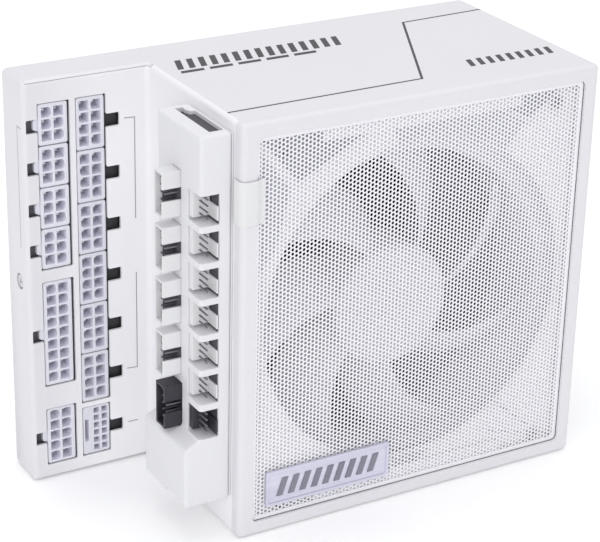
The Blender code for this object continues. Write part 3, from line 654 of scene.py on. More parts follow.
# ------------------------------------------------------------------ sockets
# each cell is square, or has two corners rounded away on the side named
KEYS = {8: ["sR", "Rs", "Rs", "sR"], 6: ["Ls", "LL", "sL"],
        18: ["Ls", "sL", "sL", "Ls", "Ls", "sL", "sL", "Ls", "Ls"], 10: ["Ls", "sL", "sL", "Ls", "Ls"],
        12: ["ss"] * 6}
SOCKETS = ([("socket_8pin_%d" % (i + 1), 8, "R", 4.2) for i in range(6)]
           + [("socket_6pin_%d" % (i + 1), 6, "L", 4.2) for i in range(4)]
           + [("socket_18pin", 18, "L", 4.2), ("socket_10pin", 10, "L", 4.1), ("socket_12pin", 12, "R", 2.95)])
pins_bm = bmesh.new()
slot_shade_bm = bmesh.new()
slot_shade_left_bm = bmesh.new()
for node, ways, side, pitch in SOCKETS:
    lo, hi = node_mm(node)
    x0, x1 = (lo.x, hi.x - 2.3) if side == "R" else (lo.x + 2.3, hi.x)
    z0, z1 = lo.z, hi.z
    y0, y1 = lo.y, hi.y
    cx, cz = (x0 + x1) / 2, (z0 + z1) / 2
    rows = ways // 2
    holes = []
    bm = bmesh.new()
    for k in range(rows):
        zc = cz + ((rows - 1) / 2 - k) * pitch
        for col in (0, 1):
            if ways == 12:
                xc, half, r = cx + (0.2, 3.3)[col], 1.1, 0.25
            else:
                xc, half = cx + (-2.2, 2.2)[col], 1.78
                key = KEYS[ways][k][col]
                r = 0.25
                if key == "R":
                    r = (1.25, 0.25, 0.25, 1.25)       # rounded on the low-x side
                elif key == "L":
                    r = (0.25, 1.25, 1.25, 0.25)       # rounded on the high-x side
            holes.append(lambda gr, a=xc, b=zc, h=half, rr=r: rrect(a - h, a + h, b - h, b + h, rr, gr))
            w = 0.34 if ways == 12 else 0.55
            soft_block(pins_bm, (xc - w, xc + w), (y0 + 3.2, y0 + 7.0), (zc - w, zc + w), 0.2, 1)
    if ways == 12:
        holes.append(lambda gr, a=x0 + 1.55: rrect(a - 0.75, a + 0.75, cz - 4.4, cz + 4.4, 0.2, gr))
    # cell walls and the back block take the lighter cavity colour: painted light
    holed(bm, lambda gr: rrect(x0, x1, z0, z1, 0.7, gr), holes, YFACE, y0, y0 + 6.4, 0.16, wall_index=1)
    into(bm, (x0 + 0.05, x1 - 0.05), (y0 + 6.4, y1), (z0 + 0.05, z1 - 0.05), 1)
    # latch ramp: flush with the face, tapering towards its tip
    if side == "L":
        out = [(x0 + 0.4, cz - 2.3), (x0 - 0.4, cz - 2.2), (x0 - 1.6, cz - 1.6), (x0 - 1.6, cz + 1.6), (x0 - 0.4, cz + 2.2), (x0 + 0.4, cz + 2.3)]
        ramp = prism_bm(out, YFACE, y0 + 0.75, 76.0, 0.12, 1)
    else:
        out = [(x1 - 0.4, y0 + 3.9), (x1 + 2.3, y0 + 5.2), (x1 + 2.3, 76.0), (x1 - 0.4, 76.0)]
        ramp = prism_bm(out, ZFACE, cz - 1.9, cz + 1.9, 0.15, 1)
    tmp = bpy.data.meshes.new("t")
    ramp.to_mesh(tmp)
    ramp.free()
    bm.from_mesh(tmp)
    bpy.data.meshes.remove(tmp)
    o = add(node + "_housing", bm, None, "casing", smooth=40, mats=[NYLON, CELL_LIT])
    # a dark plate just behind each latch notch: painted shade
    for zc in [cz]:
        if side == "R":
            into(slot_shade_bm, (x1 + 0.3, x1 + 5.6), (70.4, 70.7), (zc - 2.9, zc + 2.9))
        else:
            into(slot_shade_left_bm, (x0 - 5.0, x0 - 0.45), (70.5, 70.8), (zc - 2.9, zc + 2.9))
    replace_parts(o, node)
add("socket_contacts", pins_bm, PIN, "casing", smooth=40)
add("left_latch_slot_shade", slot_shade_left_bm, SLOT_SHADE_LEFT, "casing")
add("right_latch_slot_shade", slot_shade_bm, BOARD_DARK_AND_SLOT_SHADE, "casing")


# ------------------------------------------------------------------ perforated sheets
def perforated(name, put, a, b, t, pitch, r, sub, mat, body, pieces=1, aspect=1.0):
    """A flat sheet of staggered round or six-sided holes: hexagonal cells, each with a hole in it.

    a and b are the sheet's limits in its own two directions, t its front and back. sub is how many
    hole sides each cell side has.
    """
    step_a = pitch * math.sqrt(3) / 2 * aspect
    cols = int((a[1] - a[0] - pitch * 1.16) / step_a) + 1
    a_start = (a[0] + a[1]) / 2 - step_a * (cols - 1) / 2
    rows = int((b[1] - b[0] - pitch * 0.5 - pitch) / pitch) + 1
    b_start = (b[0] + b[1]) / 2 - pitch * (rows - 1) / 2 - pitch * 0.25
    R = pitch / math.sqrt(3)
    hexa = np.array([(aspect * R * math.cos(math.radians(60 * k)), R * math.sin(math.radians(60 * k))) for k in range(6)])
    n = 6 * sub
    ring = np.array([(r * math.cos(math.radians(360 / n * k)), r * math.sin(math.radians(360 / n * k))) for k in range(n)])
    tmpl = np.vstack([hexa, ring])
    made = []
    bounds = [round(cols * i / pieces) for i in range(pieces + 1)]
    for p in range(pieces):
        ci = [(i, j) for i in range(bounds[p], bounds[p + 1]) for j in range(rows)]
        cen = np.array([(a_start + step_a * i, b_start + pitch * j + (pitch / 2 if i % 2 else 0)) for i, j in ci])
        pts = (cen[:, None, :] + tmpl[None, :, :]).reshape(-1, 2)
        key = np.round(pts * 2000).astype(np.int64)
        uniq, first, inv = np.unique(key, axis=0, return_index=True, return_inverse=True)
        inv = inv.reshape(len(ci), -1)
        base = pts[first]
        N = len(base)
        loops3, loops4 = [], []
        for k in range(6):
            k2 = (k + 1) % 6
            h0, h1 = inv[:, k], inv[:, k2]
            if sub == 1:
                q0, q1 = inv[:, 6 + k], inv[:, 6 + k2]
                loops4 += [np.stack([h0, h1, q1, q0], 1), np.stack([q0, q1, h1, h0], 1) + N]
                loops4.append(np.stack([q0, q1, q1 + N, q0 + N], 1))
            else:
                q = [inv[:, 6 + (2 * k + s) % n] for s in range(3)]
                for tri in ((h0, h1, q[1]), (h0, q[1], q[0]), (h1, q[2], q[1])):
                    loops3 += [np.stack(tri, 1), np.stack(tri[::-1], 1) + N]
                for s in (0, 1):
                    loops4.append(np.stack([q[s], q[s + 1], q[s + 1] + N, q[s] + N], 1))
        # walls along the outside of the field
        e = np.concatenate([np.stack([inv[:, k], inv[:, (k + 1) % 6]], 1) for k in range(6)])
        es = np.sort(e, 1)
        _, idx, cnt = np.unique(es, axis=0, return_index=True, return_counts=True)
        rim = e[idx[cnt == 1]]
        loops4.append(np.stack([rim[:, 1], rim[:, 0], rim[:, 0] + N, rim[:, 1] + N], 1))
        faces = [x for x in np.concatenate(loops4).tolist()]
        if loops3:
            faces += np.concatenate(loops3).tolist()
        verts = [put(u, v, t[0]) for u, v in base.tolist()] + [put(u, v, t[1]) for u, v in base.tolist()]
        me = bpy.data.meshes.new(name)
        me.from_pydata([tuple(v) for v in verts], [], faces)
        me.validate()
        bm = bmesh.new()
        bm.from_mesh(me)
        bmesh.ops.recalc_face_normals(bm, faces=bm.faces[:])
        bm.to_mesh(me)
        bm.free()
        made.append(place("%s_%d" % (name, p + 1) if pieces > 1 else name, me, mat, body))
    return made


FX0, FX1, FZ0, FZ1 = 5.75, 132.65, 5.6, 144.4
fy0, fy1 = 1.35, 1.85
field = perforated("filter_sheet", YFACE, (FX0, FX1), (FZ0, FZ1), (1.45, 1.70), 1.52, 0.575, 2, MESHMAT, "filter", pieces=4, aspect=1.075)
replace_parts(field[0], "filter_mesh")
bm = bmesh.new()
holed(bm, lambda gr: rrect(FX0 - 0.28, FX1 + 0.28, FZ0 - 0.28, FZ1 + 0.28, 1.7, gr), [lambda gr: rrect(FX0 + 1.2, FX1 - 1.2, FZ0 + 1.2, FZ1 - 1.2, 0.8, gr)],
      YFACE, fy0 - 0.07, fy1 + 0.07, 0.06)
add("filter_hem", bm, MESHMAT, "filter", smooth=40)

# badge: raised rim, sunk panel, plain slanted bars
lo, hi = node_mm("filter_badge")
bm = bmesh.new()
holed(bm, lambda gr: rrect(lo.x, hi.x, lo.z, hi.z, 1.0, gr), [lambda gr: rrect(lo.x + 1.1, hi.x - 1.1, lo.z + 1.1, hi.z - 1.1, 0.6, gr)],
      YFACE, lo.y, hi.y, 0.25, steps=3)
soft_block(bm, (lo.x + 1.0, hi.x - 1.0), (lo.y + 0.45, hi.y - 0.02), (lo.z + 1.0, hi.z - 1.0), 0.05, 1, 1)
badge = add("badge_plate", bm, None, "filter", smooth=40, mats=[BADGE, BADGE])
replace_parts(badge, "filter_badge")
slanted("badge_bars", lo.x + 4.2, hi.x - 4.2, lo.z + 3.4, hi.z - 3.4, 9, 0.5, 2.2, BADGE_DARK, "filter", YFACE, (lo.y + 0.14, lo.y + 0.5))


# pull tab: a folded ribbon
def ribbon_points():
    c = 2.48
    pts = [(8.5, 0.83), (8.0, 0.83), (7.4, 0.80), (6.8, 0.62), (6.2, 0.2), (5.7, -0.2), (5.0, -0.44), (4.0, -0.48)]
    pts += [(2 + c * math.cos(math.radians(t)), 2 + c * math.sin(math.radians(t))) for t in range(270, 179, -10)]
    return pts + [(-0.48, 3.3), (-0.48, 4.6)]


def ribbon_piece(name, pts, z0, z1, t, mat, body):
    bm = bmesh.new()
    rows = []
    n = len(pts)
    zs = [z0, z0 + 0.12] + [z0 + (z1 - z0) * k / 10 for k in range(1, 10)] + [z1 - 0.12, z1]
    for i, p in enumerate(pts):
        a, b = Vector(pts[max(i - 1, 0)]), Vector(pts[min(i + 1, n - 1)])
        d = (b - a).normalized()
        nrm = Vector((-d.y, d.x)) * (t / 2)
        top, bot = [], []
        for k, z in enumerate(zs):
            s = 0.55 if k in (0, len(zs) - 1) else 1.0
            top.append(bm.verts.new(P(p[0] + nrm.x * s, p[1] + nrm.y * s, z)))
            bot.append(bm.verts.new(P(p[0] - nrm.x * s, p[1] - nrm.y * s, z)))
        rows.append(top + bot[::-1])
    for a, b in zip(rows, rows[1:]):
        m = len(a)
        for i in range(m):
            j = (i + 1) % m
            bm.faces.new((a[i], a[j], b[j], b[i]))
    bm.faces.new(rows[0]), bm.faces.new(rows[-1])
    return add(name, bm, mat, body, smooth=50)


tlo, thi = node_mm("filter_pull_tab")
tab = ribbon_piece("pull_tab_ribbon", ribbon_points(), tlo.z, thi.z, 0.38, RIBBON, "filter")
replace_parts(tab, "filter_pull_tab")

# ------------------------------------------------------------------ intake plate, duct, fan
PLATE_SCREWS = [(16.6, 137.8), (122.9, 137.8), (123.2, 9.5), (16.6, 9.5)]
bm = bmesh.new()
holed(bm, lambda gr: rrect(1.6, WF - 1.6, 1.6, H - 1.6, 1.0, gr),
      [lambda gr: circle(69.25, 74.6, 59.0, 128, gr)] + [lambda gr, a=x, b=z: circle(a, b, 1.8, 16, gr) for x, z in PLATE_SCREWS],
      YFACE, 2.95, 3.95, 0.3, steps=3)
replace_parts(add("intake_plate", bm, PLATE, "casing", smooth=40), "fan_mount_plate")


# grey patches laid on the intake plate: painted shade, in a darker and a paler tone
CREASE_SHADE = surface("crease_painted_shade", (0.44, 0.44, 0.50), (0.52, 0.52, 0.57), (0.4, 0.55), 60, (0.15, 0.00003))
CREASE_SHADE_PALE = surface("crease_painted_shade_pale", (0.60, 0.60, 0.65), (0.68, 0.68, 0.73), (0.4, 0.55), 60, (0.15, 0.00003))


def rim(a):
    return (69.25 + 59.5 * math.cos(math.radians(a)), 74.6 + 59.5 * math.sin(math.radians(a)))


def film(name, outlines, mat):
    bm = bmesh.new()
    for pts in outlines:
        one = prism_bm(pts, YFACE, 2.862, 2.898, 0.0, 1)
        m = bpy.data.meshes.new("t")
        one.to_mesh(m)
        one.free()
        bm.from_mesh(m)
        bpy.data.meshes.remove(m)
    add(name, bm, mat, "casing")


# darker patches of painted shade on the plate
film("plate_painted_shade_dark", [[(8.0, 143.2), (53.3, 141.6), (21.8, 126.4)], [(96.0, 141.4), (124.0, 142.4), (112.0, 133.6)],
                         [(62.8, 14.9), (79.5, 14.4), (63.4, 5.8)], [(105.4, 26.3), (105.8, 26.7), (122.6, 12.3), (122.2, 11.9)],
                         [(102.8, 15.1), (102.9, 15.5), (132.0, 7.5), (131.9, 7.1)]], CREASE_SHADE)
# paler patches of painted shade along the plate's top and left
film("plate_painted_shade_pale", [[(56.5, 141.0), (95.4, 141.4), (111.0, 133.0), (103.0, 123.9)] + [rim(a) for a in range(57, 100, 6)],
                         [(7.8, 139.0), (19.0, 124.5), (14.0, 104.0), (7.8, 96.0)]], CREASE_SHADE_PALE)


def screw_head(bm, axis, at, r, h, out, slot_r=None):
    """A low domed head with a cross recess. out is +1 or -1 along the axis, at is its seat."""
    def put(a, b, t):
        d = at[{"X": 0, "Y": 1, "Z": 2}[axis]] + out * t
        return {"X": lambda: P(d, at[1] + a, at[2] + b), "Y": lambda: P(at[0] + a, d, at[2] + b), "Z": lambda: P(at[0] + a, at[1] + b, d)}[axis]()
    n = 32
    w, l = r * 0.13, r * 0.5
    cross = [(w, w), (w, l), (-w, l), (-w, w), (-l, w), (-l, -w), (-w, -w), (-w, -l), (w, -l), (w, -w), (l, -w), (l, w)]
    outer = [(r * math.cos(2 * math.pi * i / n), r * math.sin(2 * math.pi * i / n)) for i in range(n)]
    prof = [(1.0, 0.0), (1.0, 0.35), (0.93, 0.7), (0.78, 0.93), (0.6, 1.0)]
    rings = [[bm.verts.new(put(a * s, b * s, h * d)) for a, b in outer] for s, d in prof]
    for ra, rb in zip(rings, rings[1:]):
        for i in range(n):
            j = (i + 1) % n
            bm.faces.new((ra[i], ra[j], rb[j], rb[i]))
    bm.faces.new(rings[0])
    c0 = [bm.verts.new(put(a, b, h)) for a, b in cross]
    c1 = [bm.verts.new(put(a * 0.7, b * 0.7, h * 0.1)) for a, b in cross]
    flat = rings[-1] + c0
    for tri in tessellate_polygon([[v.co for v in rings[-1]], [v.co for v in c0]]):
        bm.faces.new([flat[i] for i in tri])
    for i in range(12):
        j = (i + 1) % 12
        bm.faces.new((c0[i], c0[j], c1[j], c1[i]))
    bm.faces.new(c1)


for i, (x, z) in enumerate(PLATE_SCREWS):
    bm = bmesh.new()
    screw_head(bm, "Y", (x, 2.85, z), 2.6, 0.75, -1)
    rod(bm, "Y", (x, 5.1, z), 1.4, 4.4, 16)
    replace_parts(add("plate_screw_head_%d" % (i + 1), bm, ZINC, "casing", smooth=40), "plate_screw_%d" % (i + 1))
bm = bmesh.new()
screw_head(bm, "X", (-EXT + 0.75, 75.0, 76.0), 2.5, 0.6, -1)
rod(bm, "X", (-EXT + 2.3, 75.0, 76.0), 1.4, 3.0, 16)
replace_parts(add("end_screw_head", bm, ZINC, "casing", smooth=40), "end_screw")

bm = bmesh.new()
holed(bm, lambda gr: rrect(6.4, 132.6, 12.6, 135.6, 3.0, gr), [lambda gr: circle(67.7, 72.1, 61.0, 128, gr)], YFACE, 4.3, 9.6, 0.3)
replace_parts(add("duct_ring", bm, FANMAT, "casing", smooth=40), "fan_duct")

fx, fz = 66.1, 69.0
bm = bmesh.new()
holed(bm, lambda gr: rrect(6.6, 132.4, 12.8, 135.4, 3.0, gr), [lambda gr: circle(fx, fz, 58.6, 128, gr)], YFACE, 9.64, 9.96, 0.05)
add("duct_gasket", bm, FANMAT, "casing", smooth=40)
bm = bmesh.new()
ears = [(fx + a * 52.5, fz + b * 52.5) for a in (-1, 1) for b in (-1, 1)]
holed(bm, lambda gr: rrect(fx - 60, fx + 60, fz - 60, fz + 60, 5.0, gr),
      [lambda gr: circle(fx, fz, 58.4, 128, gr * 4)] + [lambda gr, a=x, b=z: circle(a, b, 2.15, 20, gr) for x, z in ears],
      YFACE, 10.0, 35.0, 0.6, steps=3)
turned(bm, [(0, 31.9), (20.8, 31.9), (21.6, 32.4), (21.6, 34.7), (0, 34.7)], (fx, fz), 64)
# the struts take the grey film colour: painted shade
for k in range(4):
    a = math.radians(20 + 90 * k)
    sec = []
    for rr in (20.9, 40.0, 58.8):
        c = Vector((fx + rr * math.cos(a), fz + rr * math.sin(a)))
        t = Vector((-math.sin(a), math.cos(a)))
        sec.append([bm.verts.new(P(c.x + t.x * w, y, c.y + t.y * w)) for w, y in ((-2.0, 33.2), (-1.2, 32.3), (1.2, 32.3), (2.0, 33.2), (1.4, 34.5), (-1.4, 34.5))])
    for u, v in zip(sec, sec[1:]):
        for i in range(6):
            j = (i + 1) % 6
            bm.faces.new((u[i], u[j], v[j], v[i])).material_index = 1
    bm.faces.new(sec[0]).material_index = 1
    bm.faces.new(sec[-1]).material_index = 1
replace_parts(add("fan_housing", bm, None, "casing", smooth=40, mats=[FANMAT, SHADE_FILM]), "fan_frame")

bm = bmesh.new()
hub_prof = [(0, 12.0), (17.5, 12.0), (20.0, 12.15), (21.5, 12.7), (22.3, 13.7), (22.5, 14.8), (22.5, 30.6), (20.4, 30.6), (20.4, 14.4), (2.2, 14.4), (2.2, 15.4), (0, 15.4)]
turned(bm, hub_prof, (fx, fz), 96)
add_hub = bm
BLADES, TIP = 7, 56.6
for kb in range(BLADES):
    base = math.radians(65.3 + 360.0 / BLADES * kb)
    NR, NT = 13, 11
    secs = []
    for ir in range(NR):
        u = ir / (NR - 1)
        rr = 21.8 + (TIP - 21.8) * u
        sweep = 31.0 * (u ** 1.15)
        chord = 30.0 - 4.5 * u
        y0 = 13.2 - 0.4 * math.sin(math.pi * u) + 0.2 * u
        y1 = 29.8 - 2.4 * u
        up, dn = [], []
        for it in range(NT):
            t = it / (NT - 1)
            camber = 1.5 * math.sin(math.pi * t) * (1 - 0.3 * u)
            th = (0.22 + 0.62 * math.sin(math.pi * min(max(t, 0.0), 1.0)) ** 0.5) * (1.0 - 0.25 * u)
            a = base + math.radians(sweep - chord * t)
            y = y0 + (y1 - y0) * t - camber
            dn.append((rr, a, y - th))
            up.append((rr, a, y + th))
        ring = dn + up[::-1]
        secs.append([bm.verts.new(P(fx + q * math.cos(a), y, fz + q * math.sin(a))) for q, a, y in ring])
    n = len(secs[0])
    for a, b in zip(secs, secs[1:]):
        for i in range(n):
            j = (i + 1) % n
            bm.faces.new((a[i], a[j], b[j], b[i]))
    bm.faces.new(secs[0]), bm.faces.new(secs[-1])
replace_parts(add("fan_rotor", bm, FANMAT, "rotor", smooth=50), "fan_impeller")

# a thin grey sheet behind the fan: painted shade that keeps the exhaust grille's light out of view
bm = bmesh.new()
soft_block(bm, (84.0, 126.0), (35.15, 35.6), (9.2, 128.8), 0.12, 1)
add("outlet_shade_sheet", bm, SHADE_FILM, "casing")

# ------------------------------------------------------------------ clip-on hub
HX0, HX1, HY0, HY1, HZ0, HZ1 = -12.0, -0.7, 5.5, 36.3, 13.8, 146.2
USB_Z = [122.5, 103.5, 84.5, 65.5]
POWER_Z = 46.3
FAN_Z = [120.9 - 12.76 * k for k in range(6)]
LEAD_Z = 44.2
BX = -5.0      # outer face of the hub's board
body_bm = prism_bm([(HX1, HZ0), (HX1, HZ1), (HX0, HZ1), (HX0, 38.7), (-17.6, 35.7), (-17.6, HZ0)], YFACE, HY0, HY1, 1.3, 5)
hub = temp(body_bm)
me = cut(hub, [
    tool_blocks([((HX0 + 1.6, HX1 + 1), (17.0, HY1 - 1.6), (HZ0 + 1.8, HZ1 - 1.8))]),
    tool_blocks([((HX0 - 1, HX0 + 3), (19.25, 25.8), (z - 8.1, z + 8.1)) for z in USB_Z]
                + [((-20, HX0 + 3), (18.6, 25.6), (POWER_Z - 8.1, POWER_Z + 8.1))]),
    tool_blocks([((HX0 - 1, -5.1), (HY0 - 1, 14.4), (z - 5.25, z + 5.25)) for z in FAN_Z + [LEAD_Z]]),
    tool_prism([(-7.2, 9.0), (-2.2, 9.0), (-2.2, 28.8), (-3.8, 29.0), (-4.6, 31.0), (-4.2, 33.4), (-7.2, 33.4)], ZFACE, HZ1 - 4, HZ1 + 2),
    tool_blocks([((-18.5, -15.4), (14.0, 20.6), (HZ0 - 1, HZ0 + 1.5))])])
me.materials.clear()
hub_ob = place("hub_body", me, HUBMAT, "hub", smooth=35)
edged(hub_ob, 0.22, 2, 45)
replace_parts(hub_ob, "hub_housing")


def shroud(bm, x_open, x_back, y0, y1, z, wall, key_w, inner, pins_bm, half=7.85):
    """A two-row shrouded header that opens towards -x, with its key slot in the front wall."""
    # four walls round a cavity, the front one split by the key slot
    soft_block(bm, (x_open, x_back), (y1 - wall, y1), (z - half, z + half), 0.12, 1)
    soft_block(bm, (x_open, x_back), (y0 + wall + 0.001, y1 - wall - 0.001), (z + half - wall, z + half), 0.12, 1)
    soft_block(bm, (x_open, x_back), (y0 + wall + 0.001, y1 - wall - 0.001), (z - half, z - half + wall), 0.12, 1)
    soft_block(bm, (x_open, x_back), (y0, y0 + wall), (z + key_w / 2, z + half), 0.12, 1)
    soft_block(bm, (x_open, x_back), (y0, y0 + wall), (z - half, z - key_w / 2), 0.12, 1)
    into(bm, (x_back - 1.9, x_back - 0.05), (y0 + 0.1, y1 - 0.1), (z - half + 0.1, z + half - 0.1), inner)
    into(bm, (x_open + 2.6, x_back - 1.9), (y1 - wall - 0.25, y1 - wall - 0.02), (z - half + wall + 0.05, z + half - wall - 0.05), inner)
    for row in (-1.27, 1.27):
        for k in range(5):
            zz = z + (k - 2) * 2.54
            yy = (y0 + y1) / 2 + row
            soft_block(pins_bm, (x_open + 1.6, x_back - 1.5), (yy - 0.32, yy + 0.32), (zz - 0.32, zz + 0.32), 0.08, 1)


hub_pins = bmesh.new()
bm = bmesh.new()
for z in USB_Z:
    shroud(bm, -18.6, -9.6, 19.5, 25.6, z, 0.8, 4.2, 1, hub_pins)
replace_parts(add("hub_usb_shrouds", bm, None, "hub", smooth=35, mats=[HEADER, HEADER_IN]), "hub_usb_headers")
bm = bmesh.new()
shroud(bm, -18.5, -9.6, 18.8, 25.4, POWER_Z, 0.9, 4.2, 0, hub_pins)
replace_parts(add("hub_power_shroud", bm, BLACK, "hub", smooth=35), "hub_power_header")


def fan_plug(bm, z, pins):
    """A four-way fan header lying on its side: base, key wall and four pins that point forward."""
    soft_block(bm, (-11.6, -5.5), (11.6, 14.2), (z - 4.1, z + 5.0), 0.2, 2)
    soft_block(bm, (-5.95, -5.33), (5.7, 12.3), (z - 4.0, z + 0.9), 0.15, 2)
    for k in range(4):
        zz = z + 0.4 + (k - 1.5) * 2.2
        soft_block(pins, (-9.4, -8.85), (6.0, 12.5), (zz - 0.27, zz + 0.27), 0.1, 1)


bm = bmesh.new()
for z in FAN_Z:
    fan_plug(bm, z, hub_pins)
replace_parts(add("hub_fan_plugs", bm, HEADER, "hub", smooth=35), "hub_fan_headers")
bm = bmesh.new()
fan_plug(bm, LEAD_Z, hub_pins)
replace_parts(add("hub_pwm_plug", bm, BLACK, "hub", smooth=35), "hub_pwm_header")
# the hub's contacts take the darkened metal: painted shade
add("hub_contacts", hub_pins, PIN_SHADED, "hub", smooth=35)
bm = bmesh.new()
for z in FAN_Z + [LEAD_Z]:
    into(bm, (-5.32, -5.05), (6.3, 14.35), (z - 5.2, z + 5.2))
into(bm, (-7.3, -2.1), (8.9, 30.8), (HZ1 - 3.4, HZ1 - 1.25))
add("hub_pocket_backs", bm, SHROUD, "hub")

bm = bmesh.new()
holed(bm, lambda gr: rrect(HY0 + 0.5, HY1 - 0.5, HZ0 + 0.5, HZ1 - 0.5, 1.0, gr), [lambda gr: rrect(7.2, 33.8, 15.7, 143.4, 0.5, gr)], XFACE, -0.69, -0.14, 0.05)
add("hub_gasket", bm, HUBMAT, "hub", smooth=40)

# ------------------------------------------------------------------ mains end
iy, iz = INLET
bm = bmesh.new()
inlet_cut = lambda gr: [(iy - 8.0 - gr, iz - 12.2 - gr), (iy + 3.6 + gr * 0.6, iz - 12.2 - gr), (iy + 8.0 + gr, iz - 8.0 - gr * 0.6),
                        (iy + 8.0 + gr, iz + 8.0 + gr * 0.6), (iy + 3.6 + gr * 0.6, iz + 12.2 + gr), (iy - 8.0 - gr, iz + 12.2 + gr)]
holed(bm, lambda gr: rrect(iy - 11.4, iy + 11.4, iz - 15.4, iz + 15.4, 2.5, gr), [inlet_cut], XFACE, WF + 2.0, WF + 0.3, 0.35, steps=3)
holed(bm, lambda gr: rrect(iy - 9.8, iy + 9.8, iz - 13.6, iz + 13.6, 1.0, gr * 0.1), [inlet_cut], XFACE, WF + 0.29, WF - 14.5, 0.02)
into(bm, (WF - 18.0, WF - 14.51), (iy - 9.8, iy + 9.8), (iz - 13.6, iz + 13.6))
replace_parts(add("mains_inlet_body", bm, BLACK, "casing", smooth=30), "ac_inlet")
bm = bmesh.new()
for dy, dz in ((3.0, 0.0), (-1.5, 7.0), (-1.5, -7.0)):
    soft_block(bm, (WF - 16.0, WF - 2.0), (iy + dy - 2.0, iy + dy + 2.0), (iz + dz - 1.0, iz + dz + 1.0), 0.5, 3)
soft_block(bm, (WF - 20.2, WF - 18.3), (iy - 5.0, iy + 6.0), (iz - 9.0, iz + 9.0), 0.3, 1)
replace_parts(add("mains_inlet_blades", bm, PIN, "casing", smooth=40), "ac_inlet_pins")
sy, sz = SWITCH
bm = bmesh.new()
holed(bm, lambda gr: rrect(sy - 8.0, sy + 8.0, sz - 11.2, sz + 11.2, 1.2, gr), [lambda gr: rrect(sy - 5.4, sy + 5.4, sz - 8.9, sz + 8.9, 0.5, gr)],
      XFACE, WF + 1.7, WF - 8.0, 0.3, steps=3)
into(bm, (WF - 14.0, WF - 8.01), (sy - 6.6, sy + 6.6), (sz - 9.8, sz + 9.8))
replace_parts(add("switch_frame", bm, BLACK, "casing", smooth=30), "switch_bezel")
RX, TILT = WF - 1.5, math.radians(8.0)


def rock(x, y, z):
    """A point in the rocker's own frame, tilted about its pivot."""
    c, s = math.cos(TILT), math.sin(TILT)
    return P(RX + x * c + z * s, sy + y, sz - x * s + z * c)


bm = bmesh.new()
face = [(-8.0, 3.4), (-6.0, 2.95), (-3.0, 2.35), (0, 2.1), (3.0, 2.35), (6.0, 2.95), (8.0, 3.4), (7.6, -3.0), (0, -3.8), (-7.6, -3.0)]
sides = []
for y in (-5.0, -4.75, 4.75, 5.0):
    k = 0.96 if abs(y) > 4.9 else 1.0
    sides.append([bm.verts.new(rock(x * (k if x > 0 else 1), y, z * k)) for z, x in face])
for a, b in zip(sides, sides[1:]):
    for i in range(len(face)):
        j = (i + 1) % len(face)
        bm.faces.new((a[i], a[j], b[j], b[i]))
bm.faces.new(sides[0]), bm.faces.new(sides[-1])
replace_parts(add("switch_rocker", bm, BLACK, "rocker", smooth=30), "rocker_switch")
bm = bmesh.new()
# generic on and off marks: a bar and a ring
for (z0, z1, y0, y1) in ((-5.6, -3.4, -0.3, 0.3),):
    vs = [bm.verts.new(rock(x, y, z)) for x in (2.6, 3.05) for y, z in ((y0, z0), (y1, z0), (y1, z1), (y0, z1))]
    for q in ((0, 1, 2, 3), (7, 6, 5, 4), (0, 4, 5, 1), (1, 5, 6, 2), (2, 6, 7, 3), (3, 7, 4, 0)):
        bm.faces.new([vs[i] for i in q])
n = 24
rg = []
for rr, x in ((1.0, 2.6), (1.45, 2.6), (1.45, 3.08), (1.0, 3.08)):
    rg.append([bm.verts.new(rock(x, rr * math.cos(2 * math.pi * i / n), 4.6 + rr * math.sin(2 * math.pi * i / n))) for i in range(n)])
for a, b in zip(rg, rg[1:] + rg[:1]):
    for i in range(n):
        j = (i + 1) % n
        bm.faces.new((a[i], a[j], b[j], b[i]))
add("switch_marks", bm, RIBBON, "rocker")

grid = perforated("exhaust_honeycomb", XFACE, (10.6, 75.4), (9.6, 73.4), (WF - 0.15, WF - 0.75), 6.0, 3.0, 1, COAT, "casing")
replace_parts(grid[0], "exhaust_grille")
bm = bmesh.new()
holed(bm, lambda gr: rrect(10.3, 75.7, 9.3, 73.7, 1.2, gr), [lambda gr: rrect(12.6, 73.4, 11.8, 71.2, 1.0, gr)], XFACE, WF - 0.1, WF - 0.8, 0.1)
add("exhaust_rim", bm, COAT, "casing", smooth=40)

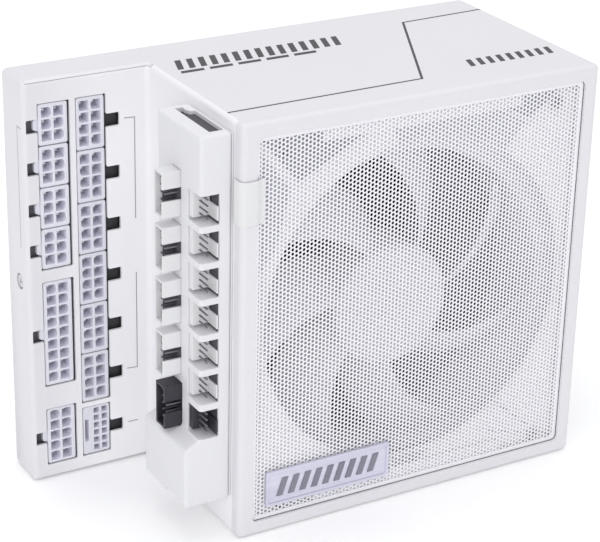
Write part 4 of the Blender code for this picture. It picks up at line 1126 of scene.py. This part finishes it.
# ------------------------------------------------------------------ CAD nodes that keep their shape
KEEP = {"filter_magnet_top": PLATE, "filter_magnet_bottom": PLATE, "fan_stator": COPPER, "fan_shaft": STEEL, "fan_bearing": BRASS,
        "main_board": GREEN, "modular_board": BOARD_DARK_AND_SLOT_SHADE, "hub_board": BOARD, "insulation_sheet": MYLAR, "bulk_capacitor_1": SLEEVE,
        "bulk_capacitor_2": SLEEVE, "output_capacitor": SLEEVE, "main_transformer": FERRITE, "standby_transformer": FERRITE,
        "emi_choke": FERRITE, "pfc_choke": COPPER, "primary_heatsink": ALU, "secondary_heatsink": ALU, "line_capacitor": FILM,
        "hub_back_cover": HUBMAT, "hub_magnet_top": MAGNET, "hub_magnet_bottom": MAGNET}
for n, mt in KEEP.items():
    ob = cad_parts[n]
    if not ob.material_slots:
        ob.data.materials.append(mt)
    for s in ob.material_slots:
        s.material = mt

# ------------------------------------------------------------------ floor, light, view
fm, nt, b = nodes_of("floor")
vec = tex_coord(nt)
nt.links.new(mixed(nt, ranged(nt, noise(nt, vec, 3.0), 0, 1), (0.97, 0.97, 0.97), (0.985, 0.985, 0.985)), b.inputs["Base Color"])
b.inputs["Roughness"].default_value = 0.9
b.inputs["Emission Color"].default_value = (1, 1, 1, 1)
b.inputs["Emission Strength"].default_value = 0.09
bm = bmesh.new()
vs = [bm.verts.new((x, y, -0.0002)) for x, y in ((-6, -6), (6, -6), (6, 6), (-6, 6))]
bm.faces.new(vs)
fme = bpy.data.meshes.new("floor")
bm.to_mesh(fme)
bm.free()
floor = bpy.data.objects.new("floor", fme)
fme.materials.append(fm)
bpy.context.scene.collection.objects.link(floor)


def area(name, at, look, size, power, colour=(1, 1, 1)):
    l = bpy.data.lights.new(name, "AREA")
    l.shape = "RECTANGLE"
    l.size, l.size_y = size
    l.energy = power
    l.color = colour
    o = bpy.data.objects.new(name, l)
    o.location = at
    o.rotation_euler = (Vector(look) - Vector(at)).to_track_quat("-Z", "Y").to_euler()
    bpy.context.scene.collection.objects.link(o)
    return o


area("key", (-0.1, -1.5, 1.3), (0, 0, 0.08), (1.4, 1.4), 3.0)
area("fill_left", (-1.2, -1.2, 0.8), (0, 0, 0.08), (1.4, 1.2), 6.9)
area("overhead", (0.1, 0.2, 1.8), (0, 0, 0.1), (1.6, 1.6), 12)
w = bpy.data.worlds.new("world")
w.use_nodes = True
w.node_tree.nodes["Background"].inputs["Color"].default_value = (0.97, 0.975, 1.0, 1)
w.node_tree.nodes["Background"].inputs["Strength"].default_value = 0.68
bpy.context.scene.world = w
bpy.context.scene.view_settings.view_transform = "Standard"
bpy.context.scene.view_settings.look = "None"
bpy.context.scene.view_settings.exposure = 0.0
